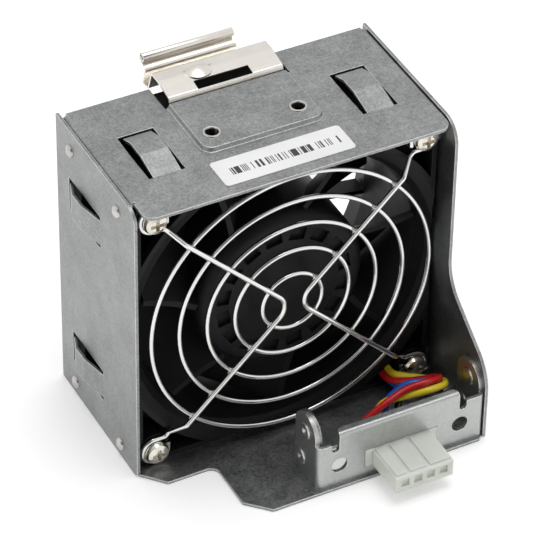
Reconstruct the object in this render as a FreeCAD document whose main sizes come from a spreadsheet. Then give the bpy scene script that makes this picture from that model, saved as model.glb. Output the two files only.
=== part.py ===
import FreeCAD, Part
import math
import os
import re

import Sketcher
from FreeCAD import Placement, Rotation, Vector

# Hot-swap fan module of a rack server: an 80 mm axial fan in a riveted sheet-steel cradle,
# with a wire finger guard, a spring latch on top and a bracket that carries the plug.
# +X is to the right of someone facing the guard, +Y runs with the air from guard to
# outlet, and +Z is up. The origin is on the cradle's underside, below the fan's axis,
# in the plane of the fan's front face. All lengths are millimetres.

SIZES = {
    # cradle sheets
    "sheet": 0.8,
    "bend_inside": 0.5,
    "top_front_lip": 6.4,
    "top_overhang": 0.8,
    "flange_front": 1.0,
    "top_flange_drop": 9.0,
    "base_flange_rise": 7.5,
    "lip_corner": 3.0,
    "side_front": 3.0,
    "side_overhang": 1.9,
    "side_corner": 4.0,
    "right_front": 6.8,
    "right_slope_top": 35.2,
    "right_slope_base": 20.4,
    "right_slope_corner": 12.0,
    # base plate in front of the fan
    "tray_reach": 28.3,
    "tray_left": 23.1,
    "tray_corner": 5.5,
    "tray_nose": 8.3,
    "tray_nose_left": 36.0,
    "tray_inner_corner": 2.5,
    "corner_cut": 1.5,
    "relief_front": 8.8,
    "relief_rear": 4.4,
    "relief_depth": 1.5,
    # rivets through the side plates
    "rivet_front": 6.4,
    "rivet_back_inset": 6.0,
    "rivet_top_inset": 5.8,
    "rivet_base_inset": 3.8,
    "rivet_head": 1.7,
    "rivet_head_rise": 0.9,
    "rivet_shank": 1.2,
    # spring fingers lanced from the sheets
    "finger_slot_width": 9.4,
    "finger_slot_length": 17.4,
    "finger_width": 7.2,
    "finger_length": 16.2,
    "finger_rise": 1.7,
    "top_finger_offset": 28.2,
    "top_finger_root": 7.3,
    "side_finger_root": 15.8,
    "side_finger_upper": 63.0,
    "side_finger_lower": 15.0,
    # raised pad, latch spring and label on the top plate
    "latch_centre": -1.0,
    "pad_width": 32.3,
    "pad_length": 20.2,
    "pad_rear_inset": 8.0,
    "pad_rise": 1.0,
    "pad_corner": 3.0,
    "pad_slope": 30.0,
    "spring_gap_margin": 1.1,
    "eyelet_margin": 9.4,
    "eyelet_inset": 6.0,
    "eyelet_bore": 1.6,
    "eyelet_wall": 0.3,
    "eyelet_flare": 0.4,
    "spring_sheet": 0.5,
    "spring_bend": 0.6,
    "spring_hinge_gap": 0.3,
    "spring_margin": 1.7,
    "spring_foot_inset": 2.9,
    "spring_root_gap": 0.6,
    "spring_knee_rise": 1.75,
    "spring_crest_rise": 3.2,
    "shoulder_run": 6.4,
    "shoulder_bend": 3.6,
    "crest_run": 9.2,
    "hook_drop": 2.4,
    "hook_front_run": 11.6,
    "hook_rear_run": 14.6,
    "waist_rise": 1.9,
    "waist_run": 13.1,
    "tab_rise": 5.4,
    "tab_run": 16.4,
    "tab_margin": 6.3,
    "tab_shoulder": 0.8,
    "tab_corner": 3.2,
    "tab_lip": 2.0,
    "spring_slot_width": 14.6,
    "spring_slot_length": 2.8,
    "catch_width": 6.6,
    "catch_rise": 0.9,
    "catch_run": 6.9,
    "catch_offset": 4.6,
    "label_width": 34.2,
    "label_depth": 9.6,
    "label_front": 3.3,
    "label_corner": 1.0,
    "label_thickness": 0.12,
    # fan
    "fan_size": 80.0,
    "fan_depth": 38.0,
    "fan_side_gap": 0.15,
    "fan_top_gap": 0.4,
    "hole_margin": 8.5,
    "fan_hole": 2.15,
    "fan_corner": 2.5,
    "bore_margin": 1.8,
    "inlet_reach": 3.2,
    "inlet_depth": 6.5,
    "frame_wall": 1.3,
    "duct_wall": 1.4,
    "flange_depth": 8.0,
    "screw_boss": 4.3,
    "outlet_flare": 1.4,
    "vane_depth": 6.5,
    "vane_rake": 1.0,
    "vane_thickness": 1.1,
    "vane_count": 8,
    "motor_radius": 21.0,
    "motor_floor": 1.5,
    "motor_wall": 1.5,
    "motor_cup_depth": 7.0,
    "socket_depth": 5.0,
    "socket_wall": 1.8,
    # impeller
    "hub_front": 1.5,
    "rotor_gap": 2.5,
    "hub_radius": 22.5,
    "hub_edge": 4.0,
    "hub_skin": 1.5,
    "hub_face_skin": 2.1,
    "hub_boss": 4.0,
    "hub_boss_rear": 6.2,
    "pocket_inner": 14.8,
    "pocket_outer": 18.2,
    "pocket_depth": 1.2,
    "pocket_width": 4.4,
    "pocket_count": 16,
    "impeller_turn": 12.0,
    "blade_count": 7,
    "blade_tip_gap": 0.8,
    "blade_thickness": 1.5,
    "blade_front": 3.6,
    "blade_rear_inset": 1.1,
    "blade_reach": 15.0,
    "blade_camber": 3.2,
    "blade_root_share": 0.85,
    "blade_tip_share": 1.25,
    # motor
    "yoke_thickness": 0.8,
    "yoke_rear_inset": 1.5,
    "magnet_thickness": 2.0,
    "magnet_front": 9.0,
    "magnet_rear_inset": 2.5,
    "air_gap": 0.8,
    "shaft_radius": 1.48,
    "shaft_front": 2.4,
    "shaft_overrun": 3.4,
    "shaft_clearance": 0.02,
    "bearing_ring": 0.75,
    "shield_depth": 0.25,
    "spring_space": 0.9,
    "bearing_radius": 4.0,
    "bearing_width": 4.0,
    "front_bearing_face": 7.0,
    "bearing_recess": 0.5,
    "tube_radius": 5.2,
    "tube_front": 6.6,
    "tube_waist": 3.4,
    "core_front": 11.0,
    "core_rear_inset": 4.5,
    "core_hub": 7.5,
    "pole_count": 4,
    "pole_width": 4.0,
    "shoe_depth": 2.6,
    "slot_width": 3.0,
    "post_radius": 0.9,
    "insulator": 1.4,
    "coil_build": 2.2,
    "board_radius": 17.6,
    "board_bore": 7.0,
    "board_gap": 0.2,
    "board_thickness": 1.2,
    "clip_radius": 2.8,
    "clip_thickness": 0.5,
    "clip_gap": 0.4,
    # finger guard and its screws
    "ring_wire": 0.6,
    "rib_wire": 0.65,
    "ring_first": 8.0,
    "ring_pitch": 7.4,
    "ring_count": 5,
    "ring_stand_off": 2.7,
    "eye_radius": 3.4,
    "eye_opening": 1.6,
    "eye_flat": 0.05,
    "rib_vertex": 0.8,
    "rib_bend": 4.5,
    "weld_sink": 0.1,
    "crank_start": 28.0,
    "crank_end": 31.3,
    "screw_head": 3.05,
    "screw_head_rise": 1.9,
    "screw_shank": 2.1,
    "screw_length": 9.0,
    "screw_recess": 1.2,
    "screw_slot": 0.9,
    "screw_slot_length": 3.4,
    # connector bracket
    "bracket_sheet": 1.0,
    "bracket_left": 5.2,
    "bracket_face": 27.3,
    "shoulder_top": 14.0,
    "crown_top": 17.0,
    "crown_left": 0.6,
    "crown_right": 33.8,
    "crown_depth": 2.4,
    "crown_corner": 1.6,
    "notch_radius": 1.0,
    "notch_height": 12.6,
    "ear_rear": 15.4,
    "ear_top": 20.2,
    "ear_corner": 5.0,
    "ear_tab_relief": 0.6,
    "guide_hole": 2.2,
    "guide_left": 0.8,
    "guide_spacing": 33.3,
    "guide_height": 7.1,
    "ear_rivet": 2.3,
    "ear_rivet_shank": 1.3,
    "ear_rivet_rise": 0.35,
    "ear_rivet_dimple": 1.1,
    "upper_rivet_front": 20.6,
    "upper_rivet_height": 15.2,
    "lower_rivet_front": 18.6,
    "lower_rivet_height": 5.6,
    # plug
    "plug_centre": 17.7,
    "plug_bottom": 3.6,
    "plug_opening_width": 20.0,
    "plug_opening_height": 5.3,
    "plug_clearance": 0.08,
    "plug_collar": 1.2,
    "plug_collar_width": 22.0,
    "plug_collar_height": 5.2,
    "plug_width": 15.8,
    "plug_height": 5.1,
    "plug_nose": 39.3,
    "plug_tail": 18.5,
    "plug_corner": 0.9,
    "contact_pitch": 3.5,
    "contact_count": 4,
    "contact_cavity": 1.25,
    "contact_bore": 0.6,
    "contact_crimp": 3.0,
    "contact_set_back": 1.5,
    # lead from the motor's board to the plug
    "lead_wire": 0.9,
    "lead_spacing": 1.9,
    "lead_angle": 51.5,
    "lead_reach": 6.5,
    "lead_end": 13.5,
    "lead_channel": 4.6,
    "lead_clearance": 0.1,
    "lead_straight": 2.5,
    "lead_twist": -30.0,
    "lead_spread": 1.12,
    "lead_largest_bend": 20.0,
    "channel_depth": 4.8,
}

# Sizes that keep a place or a clearance against another size.
FOLLOWING = {
    # across the fan
    "hole_spacing": "fan_size - hole_margin",
    "bore_radius": "fan_size / 2 - bore_margin",
    "inlet_radius": "fan_size / 2 + inlet_reach",
    "lead_radius": "fan_size / 2 + lead_reach",
    # along the fan, from its rear face
    "vane_front": "fan_depth - vane_depth",
    "motor_cup_front": "fan_depth - motor_cup_depth",
    "socket_front": "fan_depth - socket_depth",
    "channel_front": "fan_depth - channel_depth",
    "board_face": "motor_cup_front + board_gap",
    "shaft_rear": "motor_cup_front + shaft_overrun",
    "hub_rear": "motor_cup_front - rotor_gap",
    "blade_rear": "hub_rear - blade_rear_inset",
    "yoke_rear": "hub_rear - yoke_rear_inset",
    "magnet_rear": "hub_rear - magnet_rear_inset",
    "core_rear": "hub_rear - core_rear_inset",
    "rear_bearing_face": "hub_rear - bearing_recess",
    # cradle sheets round the fan's depth
    "top_rear_edge": "fan_depth + top_overhang",
    "side_rear": "fan_depth + side_overhang",
    "rivet_back": "fan_depth - rivet_back_inset",
    # pad, and the spring that leaves it towards the rear
    "pad_rear": "fan_depth - pad_rear_inset",
    "pad_front": "pad_rear - pad_length",
    "eyelet_spacing": "pad_width - eyelet_margin",
    "eyelet_back": "pad_front + eyelet_inset",
    "spring_width": "pad_width - spring_margin",
    "spring_gap_width": "pad_width + spring_gap_margin",
    "spring_foot_front": "pad_front + spring_foot_inset",
    "spring_root": "pad_rear + spring_root_gap",
    "spring_crest_back": "spring_root + crest_run",
    "catch_back": "spring_root + catch_run",
    "hook_front": "spring_root + hook_front_run",
    "hook_rear": "spring_root + hook_rear_run",
    "waist_back": "spring_root + waist_run",
    "tab_back": "spring_root + tab_run",
    "tab_width": "spring_width - tab_margin",
}

doc = FreeCAD.newDocument("FanModule")
sheet_of_sizes = doc.addObject("Spreadsheet::Sheet", "Sizes")
cells = {alias: str(value) for alias, value in SIZES.items()}
cells.update({alias: "=" + formula for alias, formula in FOLLOWING.items()})
for row, alias in enumerate(cells, start=1):
    sheet_of_sizes.set(f"A{row}", alias)
    sheet_of_sizes.setAlias(f"B{row}", alias)
for row, content in enumerate(cells.values(), start=1):
    sheet_of_sizes.set(f"B{row}", content)
doc.recompute()

# Sizes that follow from the ones above, as formulas.
FLANGE_IN = "(fan_size / 2 + fan_side_gap)"
FLANGE_OUT = f"({FLANGE_IN} + sheet)"
WALL_OUT = f"({FLANGE_OUT} + sheet)"
FAN_AXIS = "(sheet + fan_size / 2)"
TOP_IN = "(sheet + fan_size + fan_top_gap)"
TOP_OUT = f"({TOP_IN} + sheet)"
BEND_OUT = "(bend_inside + sheet)"
EAR_TAB_OUT = "(bracket_sheet - bracket_left)"
EAR_TAB_IN = f"({EAR_TAB_OUT} + sheet)"
EAR_FRONT = "(bracket_face - bracket_sheet - bend_inside)"
EAR_RIVETS = [
    ("-upper_rivet_front", "upper_rivet_height"),
    ("-lower_rivet_front", "lower_rivet_height"),
]

CUP_RADIUS = "(hub_radius - hub_skin)"
MAGNET_OUT = f"({CUP_RADIUS} - yoke_thickness)"
MAGNET_IN = f"({MAGNET_OUT} - magnet_thickness)"
CORE_RADIUS = f"({MAGNET_IN} - air_gap)"

WORD = re.compile(r"(?<![\w.])([a-z_][a-z_0-9]*)\b(?!\()")


def size(formula):
    """Value of a formula written in the sheet's own names."""
    return float(sheet_of_sizes.evalExpression(str(formula)))


def tie(thing, prop, formula):
    """Bind a property to a formula of the sheet."""
    thing.setExpression(prop, WORD.sub(r"Sizes.\1", str(formula)))


NODES = []


def keep(thing, label):
    """Name a finished sub-part and put it on the list that is written out."""
    thing.Label = label
    NODES.append(thing)
    return thing


def new_body(label):
    return keep(doc.addObject("PartDesign::Body", label + "_body"), label)


def origin_feature(owner, role):
    return next(f for f in owner.Origin.OriginFeatures if f.Role == role)


def new_sketch(owner, role, across="0", up="0", out="0"):
    """Sketch on an origin plane of its body, its own origin moved within and off that plane."""
    made = owner.newObject("Sketcher::SketchObject", "sketch")
    made.AttachmentSupport = (origin_feature(owner, role + "_Plane"), [""])
    made.MapMode = "FlatFace"
    tie(made, "AttachmentOffset.Base.x", across)
    tie(made, "AttachmentOffset.Base.y", up)
    tie(made, "AttachmentOffset.Base.z", out)
    return made


def fix_point(made, edge, end, across, up):
    """Tie a point of a sketch to two formulas, measured from the sketch's origin."""
    for kind, formula in (("DistanceX", across), ("DistanceY", up)):
        index = made.addConstraint(Sketcher.Constraint(kind, -1, 1, edge, end, size(formula)))
        tie(made, f"Constraints[{index}]", formula)


def polygon(made, corners):
    """Closed outline of straight edges whose corners are pairs of formulas."""
    points = [Vector(size(across), size(up), 0) for across, up in corners]
    first = made.GeometryCount
    count = len(points)
    for index, point in enumerate(points):
        made.addGeometry(Part.LineSegment(point, points[(index + 1) % count]), False)
    for index in range(count):
        following = first + (index + 1) % count
        made.addConstraint(Sketcher.Constraint("Coincident", first + index, 2, following, 1))
    for index, (across, up) in enumerate(corners):
        fix_point(made, first + index, 1, across, up)


def rectangle(made, left, low, right, high):
    polygon(made, [(left, low), (right, low), (right, high), (left, high)])


def circle(made, across, up, radius):
    centre = Vector(size(across), size(up), 0)
    index = made.addGeometry(Part.Circle(centre, Vector(0, 0, 1), size(radius)), False)
    fix_point(made, index, 3, across, up)
    constraint = made.addConstraint(Sketcher.Constraint("Radius", index, size(radius)))
    tie(made, f"Constraints[{constraint}]", radius)


def rounded_rectangle(made, left, low, right, high, radius):
    """Rectangle with four equal corner arcs, tangent to its sides."""
    x0, y0, x1, y1, r = (size(f) for f in (left, low, right, high, radius))
    spots = [(x0 + r, y0), (x1 - r, y0), (x1, y0 + r), (x1, y1 - r)]
    spots += [(x1 - r, y1), (x0 + r, y1), (x0, y1 - r), (x0, y0 + r)]
    centres = [(x1 - r, y0 + r), (x1 - r, y1 - r), (x0 + r, y1 - r), (x0 + r, y0 + r)]
    base = made.GeometryCount
    for side in range(4):
        start, end = (Vector(*spots[2 * side + step], 0) for step in (0, 1))
        made.addGeometry(Part.LineSegment(start, end), False)
        arc_circle = Part.Circle(Vector(*centres[side], 0), Vector(0, 0, 1), r)
        turn = (side - 1) * math.pi / 2
        made.addGeometry(Part.ArcOfCircle(arc_circle, turn, turn + math.pi / 2), False)
    for side in range(4):
        line, arc, following = (base + step % 8 for step in (2 * side, 2 * side + 1, 2 * side + 2))
        made.addConstraint(Sketcher.Constraint("Tangent", line, 2, arc, 1))
        made.addConstraint(Sketcher.Constraint("Tangent", arc, 2, following, 1))
    made.addConstraint(Sketcher.Constraint("Horizontal", base))
    made.addConstraint(Sketcher.Constraint("Vertical", base + 2))
    for kind, line, formula in (
        ("DistanceY", 0, low),
        ("DistanceX", 2, right),
        ("DistanceY", 4, high),
        ("DistanceX", 6, left),
    ):
        index = made.addConstraint(Sketcher.Constraint(kind, -1, 1, base + line, 1, size(formula)))
        tie(made, f"Constraints[{index}]", formula)
    for arc in (3, 5, 7):
        made.addConstraint(Sketcher.Constraint("Equal", base + 1, base + arc))
    index = made.addConstraint(Sketcher.Constraint("Radius", base + 1, size(radius)))
    tie(made, f"Constraints[{index}]", radius)


def pad(owner, profile, length, symmetric=False, backwards=False, taper=None):
    made = owner.newObject("PartDesign::Pad", "pad")
    made.Profile = profile
    made.SideType = "Symmetric" if symmetric else "One side"
    made.Reversed = backwards
    tie(made, "Length", length)
    if taper:
        tie(made, "TaperAngle", taper)
    return made


def solid_volume(owner):
    doc.recompute()
    return owner.Tip.Shape.Volume


def cut(owner, profile, depth=None, backwards=False, taper=None):
    """Pocket through the whole body, or to a depth; it has to take something away."""
    before = solid_volume(owner)
    made = owner.newObject("PartDesign::Pocket", "pocket")
    made.Profile = profile
    if depth is None:
        made.Type = "ThroughAll"
        made.SideType = "Symmetric"
    else:
        made.SideType = "One side"
        made.Reversed = backwards
        tie(made, "Length", depth)
    if taper:
        tie(made, "TaperAngle", taper)
    if solid_volume(owner) >= before:
        raise ValueError(f"{owner.Label}: a pocket cuts nothing")
    return made


def revolve(owner, profile, axis="V_Axis"):
    made = owner.newObject("PartDesign::Revolution", "turned")
    made.Profile = profile
    made.ReferenceAxis = (profile, [axis])
    made.Angle = 360
    return made


def groove(owner, profile, axis="V_Axis"):
    """Turned cut; it has to take something away."""
    before = solid_volume(owner)
    made = owner.newObject("PartDesign::Groove", "groove")
    made.Profile = profile
    made.ReferenceAxis = (profile, [axis])
    made.Angle = 360
    if solid_volume(owner) >= before:
        raise ValueError(f"{owner.Label}: a groove cuts nothing")
    return made


def ring_pattern(owner, features, count):
    """Copies spaced evenly around the body's Z axis."""
    made = owner.newObject("PartDesign::PolarPattern", "ring_of_copies")
    made.Originals = features
    made.Axis = (origin_feature(owner, "Z_Axis"), [""])
    made.Angle = 360
    tie(made, "Occurrences", count)
    owner.Tip = made
    return made


def grid_pattern(owner, features, steps, mirror_role=None):
    """Two copies along each given axis, then a mirror image over an origin plane."""
    made = owner.newObject("PartDesign::MultiTransform", "grid_of_copies")
    made.Originals = features
    moves = []
    for role, length in steps:
        move = doc.addObject("PartDesign::LinearPattern", "step")
        move.Direction = (origin_feature(owner, role), [""])
        move.Occurrences = 2
        tie(move, "Length", length)
        moves.append(move)
    if mirror_role:
        move = doc.addObject("PartDesign::Mirrored", "mirror")
        move.MirrorPlane = (origin_feature(owner, mirror_role), [""])
        moves.append(move)
    made.Transformations = moves
    owner.Tip = made
    return made


def round_edges(owner, radius, chosen):
    """Fillet the edges that the test picks."""
    base = owner.Tip
    doc.recompute()
    names = [f"Edge{n}" for n, edge in enumerate(base.Shape.Edges, 1) if chosen(edge)]
    if not names:
        raise ValueError(f"{owner.Label}: no edge to round")
    made = owner.newObject("PartDesign::Fillet", "rounding")
    made.Base = (base, names)
    tie(made, "Radius", radius)
    return made


AXES = {"x": Vector(1, 0, 0), "y": Vector(0, 1, 0), "z": Vector(0, 0, 1)}


def along(axis, *spots):
    """Test for straight edges parallel to an axis, through one of the given spots across it."""
    direction = AXES[axis]
    others = [vector for name, vector in AXES.items() if name != axis]
    wanted = [(size(first), size(second)) for first, second in spots]

    def chosen(edge):
        if edge.Curve.TypeId != "Part::GeomLine":
            return False
        if abs(edge.Curve.Direction.dot(direction)) < 0.999:
            return False
        middle = edge.CenterOfMass
        here = [middle.dot(vector) for vector in others]
        return any(abs(here[0] - a) < 0.02 and abs(here[1] - b) < 0.02 for a, b in wanted)

    return chosen


def face_along_air(thing):
    """Turn a piece modelled about its own Z axis so that it lies on the fan's axis."""
    thing.Placement = Placement(Vector(0, 0, size(FAN_AXIS)), Rotation(Vector(1, 0, 0), -90))
    tie(thing, "Placement.Base.z", FAN_AXIS)


# ---------------------------------------------------------------- sheet-metal cradle

# Side view of a spring finger, as shares of its length and of its rise.
FINGER_SHAPE = [(0, 0), (0.45, 1), (0.75, 1), (1, 0.15)]


def finger(owner, role, root, base, outward, centre):
    """Spring finger lanced from a sheet: it rises from its root, crests and dips to a free end."""
    line = [(f"finger_length * {along}", f"finger_rise * {up}") for along, up in FINGER_SHAPE]
    near = [(f"{root} + {run}", f"{base} + {outward} * {rise}") for run, rise in line]
    far = [(f"{root} + {run}", f"{base} + {outward} * ({rise} + sheet)") for run, rise in line]
    corners = near + far[::-1]
    if role == "XY":
        corners = [(across, run) for run, across in corners]
    profile = new_sketch(owner, role, out=centre)
    polygon(profile, corners)
    pad(owner, profile, "finger_width", symmetric=True)


def flange_holes(owner, height):
    """Rivet holes through both flanges."""
    holes = new_sketch(owner, "YZ")
    for back in ("rivet_front", "rivet_back"):
        circle(holes, back, height, "rivet_shank")
    cut(owner, holes)


def make_top_plate():
    owner = new_body("top_plate")
    low = f"({TOP_OUT} - top_flange_drop)"
    section = new_sketch(owner, "XZ", out="-fan_depth")
    polygon(section, [
        (f"-{FLANGE_OUT}", low), (f"-{FLANGE_OUT}", TOP_OUT), (FLANGE_OUT, TOP_OUT), (FLANGE_OUT, low),
        (FLANGE_IN, low), (FLANGE_IN, TOP_IN), (f"-{FLANGE_IN}", TOP_IN), (f"-{FLANGE_IN}", low),
    ])
    pad(owner, section, "fan_depth - flange_front")
    round_edges(owner, "bend_inside", along("y", (FLANGE_IN, TOP_IN), (f"-{FLANGE_IN}", TOP_IN)))
    round_edges(owner, BEND_OUT, along("y", (FLANGE_OUT, TOP_OUT), (f"-{FLANGE_OUT}", TOP_OUT)))
    flat = new_sketch(owner, "XY", out=TOP_IN)
    inner = f"({FLANGE_OUT} - {BEND_OUT})"
    lip_rear = "(flange_front - bend_inside)"
    polygon(flat, [
        (f"-{FLANGE_IN}", "-top_front_lip"), (FLANGE_IN, "-top_front_lip"), (FLANGE_IN, lip_rear),
        (inner, lip_rear), (inner, "top_rear_edge"), (f"-{inner}", "top_rear_edge"),
        (f"-{inner}", lip_rear), (f"-{FLANGE_IN}", lip_rear),
    ])
    pad(owner, flat, "sheet")
    round_edges(owner, "lip_corner", along(
        "z", (FLANGE_IN, "-top_front_lip"), (f"-{FLANGE_IN}", "-top_front_lip")))
    for side in (-1, 1):
        slot = new_sketch(owner, "XY", across=f"{side} * top_finger_offset", up="top_finger_root")
        rectangle(slot, "-finger_slot_width / 2", "0", "finger_slot_width / 2", "finger_slot_length")
        cut(owner, slot)
        finger(owner, "YZ", "top_finger_root", TOP_IN, "1", f"{side} * top_finger_offset")
    raised = new_sketch(owner, "XY", across="latch_centre", out=TOP_OUT)
    rounded_rectangle(raised, "-pad_width / 2", "pad_front", "pad_width / 2",
                      "pad_rear + 2 * pad_corner", "pad_corner")
    pad(owner, raised, "pad_rise", taper="-pad_slope")
    hollow = new_sketch(owner, "XY", across="latch_centre", out=TOP_IN)
    rounded_rectangle(hollow, "-pad_width / 2 + sheet", "pad_front + sheet", "pad_width / 2 - sheet",
                      "pad_rear + 2 * pad_corner", "pad_corner - sheet")
    cut(owner, hollow, "pad_rise", backwards=True)
    gap = new_sketch(owner, "XY", across="latch_centre")
    rectangle(gap, "-spring_gap_width / 2", "pad_rear", "spring_gap_width / 2",
              "top_rear_edge + pad_corner")
    cut(owner, gap)
    holes = new_sketch(owner, "XY", across="latch_centre")
    for side in (-1, 1):
        circle(holes, f"{side} * eyelet_spacing / 2", "eyelet_back", "eyelet_bore + eyelet_wall")
    cut(owner, holes)
    flange_holes(owner, f"{TOP_OUT} - rivet_top_inset")


def make_bottom_plate():
    owner = new_body("bottom_plate")
    section = new_sketch(owner, "XZ", out="-fan_depth")
    polygon(section, [
        (f"-{FLANGE_OUT}", "0"), (FLANGE_OUT, "0"), (FLANGE_OUT, "base_flange_rise"),
        (FLANGE_IN, "base_flange_rise"), (FLANGE_IN, "sheet"), (f"-{FLANGE_IN}", "sheet"),
        (f"-{FLANGE_IN}", "base_flange_rise"), (f"-{FLANGE_OUT}", "base_flange_rise"),
    ])
    pad(owner, section, "fan_depth - flange_front")
    round_edges(owner, "bend_inside", along("y", (FLANGE_IN, "sheet"), (f"-{FLANGE_IN}", "sheet")))
    round_edges(owner, BEND_OUT, along("y", (FLANGE_OUT, "0"), (f"-{FLANGE_OUT}", "0")))
    flat = new_sketch(owner, "XY")
    inner = f"({FLANGE_OUT} - {BEND_OUT})"
    front = "-tray_reach"
    relief = f"({FLANGE_OUT} - relief_depth)"
    step = "(flange_front - bend_inside)"
    polygon(flat, [
        (f"-{inner}", "top_rear_edge"), (f"-{inner}", step), (f"-{FLANGE_OUT}", step),
        (f"-{FLANGE_OUT}", "-tray_nose + tray_corner"), ("-tray_nose_left", "-tray_nose"),
        ("-tray_left", "-tray_nose"), ("-tray_left", f"{front} + tray_corner"),
        ("-tray_left + tray_corner", front), (f"{FLANGE_OUT} - corner_cut", front),
        (FLANGE_OUT, f"{front} + corner_cut"), (FLANGE_OUT, "-relief_front"),
        (relief, "-relief_front"), (relief, "-relief_rear"), (FLANGE_OUT, "-relief_rear"),
        (FLANGE_OUT, step), (inner, step), (inner, "top_rear_edge"),
    ])
    pad(owner, flat, "sheet")
    round_edges(owner, "tray_inner_corner", along("z", ("-tray_left", "-tray_nose")))
    window = new_sketch(owner, "XY")
    rectangle(window, f"{EAR_TAB_IN} - bend_inside", f"-{EAR_FRONT} - ear_tab_relief",
              f"{EAR_TAB_IN} + ear_top - sheet", "-ear_rear + ear_tab_relief")
    cut(owner, window)
    stem = new_sketch(owner, "YZ", out=EAR_TAB_OUT)
    rectangle(stem, f"-{EAR_FRONT}", "0", "-ear_rear", "ear_top")
    pad(owner, stem, "sheet")
    round_edges(owner, "ear_corner", along("x", (f"-{EAR_FRONT}", "ear_top"), ("-ear_rear", "ear_top")))
    foot = new_sketch(owner, "XY")
    rectangle(foot, f"{EAR_TAB_OUT} - bend_inside", f"-{EAR_FRONT}", f"{EAR_TAB_OUT}", "-ear_rear")
    pad(owner, foot, "sheet")
    ear_holes = new_sketch(owner, "YZ", out=EAR_TAB_OUT)
    for back, height in EAR_RIVETS:
        circle(ear_holes, back, height, "ear_rivet_shank")
    cut(owner, ear_holes, "sheet", backwards=True)
    flange_holes(owner, "rivet_base_inset")


def side_fingers(owner, inner_face, outward):
    """Two spring fingers, one above the other, bowed outwards from a side plate."""
    for height in ("side_finger_lower", "side_finger_upper"):
        slot = new_sketch(owner, "YZ", across="side_finger_root", up=height)
        rectangle(slot, "0", "-finger_slot_width / 2", "finger_slot_length", "finger_slot_width / 2")
        cut(owner, slot)
        finger(owner, "XY", "side_finger_root", inner_face, outward, height)


def side_rivet_holes(owner):
    holes = new_sketch(owner, "YZ")
    for back in ("rivet_front", "rivet_back"):
        for height in ("rivet_base_inset", f"{TOP_OUT} - rivet_top_inset"):
            circle(holes, back, height, "rivet_shank")
    cut(owner, holes)


def make_left_side_plate():
    owner = new_body("left_side_plate")
    outline = new_sketch(owner, "YZ", out=f"-{WALL_OUT}")
    rectangle(outline, "-side_front", "0", "side_rear", TOP_OUT)
    pad(owner, outline, "sheet")
    round_edges(owner, "side_corner", along("x", ("-side_front", TOP_OUT)))
    round_edges(owner, "side_corner / 2", along("x", ("-side_front", "0")))
    side_rivet_holes(owner)
    side_fingers(owner, f"-{FLANGE_OUT}", "-1")


def make_right_side_plate():
    owner = new_body("right_side_plate")
    outline = new_sketch(owner, "YZ", out=FLANGE_OUT)
    reach = "-bracket_face"
    polygon(outline, [
        (reach, "0"), ("side_rear", "0"), ("side_rear", TOP_OUT), ("-right_front", TOP_OUT),
        ("-right_front", "right_slope_top"), (reach, "right_slope_base"),
    ])
    pad(owner, outline, "sheet")
    round_edges(owner, "right_slope_corner", along(
        "x", ("-right_front", "right_slope_top"), (reach, "right_slope_base")))
    round_edges(owner, "1.5 * side_corner", along("x", ("-right_front", TOP_OUT)))
    side_rivet_holes(owner)
    holes = new_sketch(owner, "YZ")
    for back, height in EAR_RIVETS:
        circle(holes, back, height, "ear_rivet_shank")
    cut(owner, holes)
    side_fingers(owner, FLANGE_OUT, "1")


def make_side_plate_rivets():
    """Eight round-headed rivets through side plates and flanges, flush on the fan's side."""
    owner = new_body("side_plate_rivets")
    profile = new_sketch(owner, "XZ", FLANGE_IN, "rivet_base_inset", "-rivet_front")
    head = "(2 * sheet)"
    polygon(profile, [
        ("0", "0"), ("0", "rivet_shank"), (head, "rivet_shank"), (head, "rivet_head"),
        (f"{head} + rivet_head_rise / 2", "rivet_head * 0.88"),
        (f"{head} + rivet_head_rise", "rivet_head * 0.4"), (f"{head} + rivet_head_rise", "0"),
    ])
    rivet = revolve(owner, profile, "H_Axis")
    doc.recompute()
    rise = f"{TOP_OUT} - rivet_top_inset - rivet_base_inset"
    grid_pattern(owner, [rivet], [("Y_Axis", "rivet_back - rivet_front"), ("Z_Axis", rise)], "YZ_Plane")


# ---------------------------------------------------------------- latch spring and label

FOOT_TOP = f"({TOP_IN} + pad_rise)"
FOOT_LOW = f"({FOOT_TOP} - spring_sheet)"


def make_latch_foot():
    """Part of the spring that the eyelets clamp under the raised pad."""
    owner = new_body("latch_foot")
    outline = new_sketch(owner, "XY", across="latch_centre", out=FOOT_LOW)
    rectangle(outline, "-spring_width / 2", "spring_foot_front", "spring_width / 2",
              "pad_rear - spring_hinge_gap")
    pad(owner, outline, "spring_sheet")
    holes = new_sketch(owner, "XY", across="latch_centre")
    for side in (-1, 1):
        circle(holes, f"{side} * eyelet_spacing / 2", "eyelet_back", "eyelet_bore + eyelet_wall")
    cut(owner, holes)


def make_latch_eyelets():
    """Two tubular eyelets: rolled over on the pad and flared under the foot."""
    owner = new_body("latch_eyelets")
    profile = new_sketch(owner, "XZ", "latch_centre - eyelet_spacing / 2", FOOT_LOW, "-eyelet_back")
    outer = "(eyelet_bore + eyelet_wall)"
    stack = "(spring_sheet + sheet)"
    polygon(profile, [
        ("eyelet_bore", "-eyelet_wall"), (f"{outer} + eyelet_flare", "-eyelet_wall"),
        (f"{outer} + eyelet_flare", "0"), (outer, "0"), (outer, stack),
        (f"{outer} + eyelet_flare", stack), (f"{outer} + eyelet_flare / 2", f"{stack} + eyelet_wall"),
        ("eyelet_bore + eyelet_wall / 2", f"{stack} + eyelet_wall"), ("eyelet_bore", stack),
    ])
    eyelet = revolve(owner, profile)
    doc.recompute()
    grid_pattern(owner, [eyelet], [("X_Axis", "eyelet_spacing")])


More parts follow.
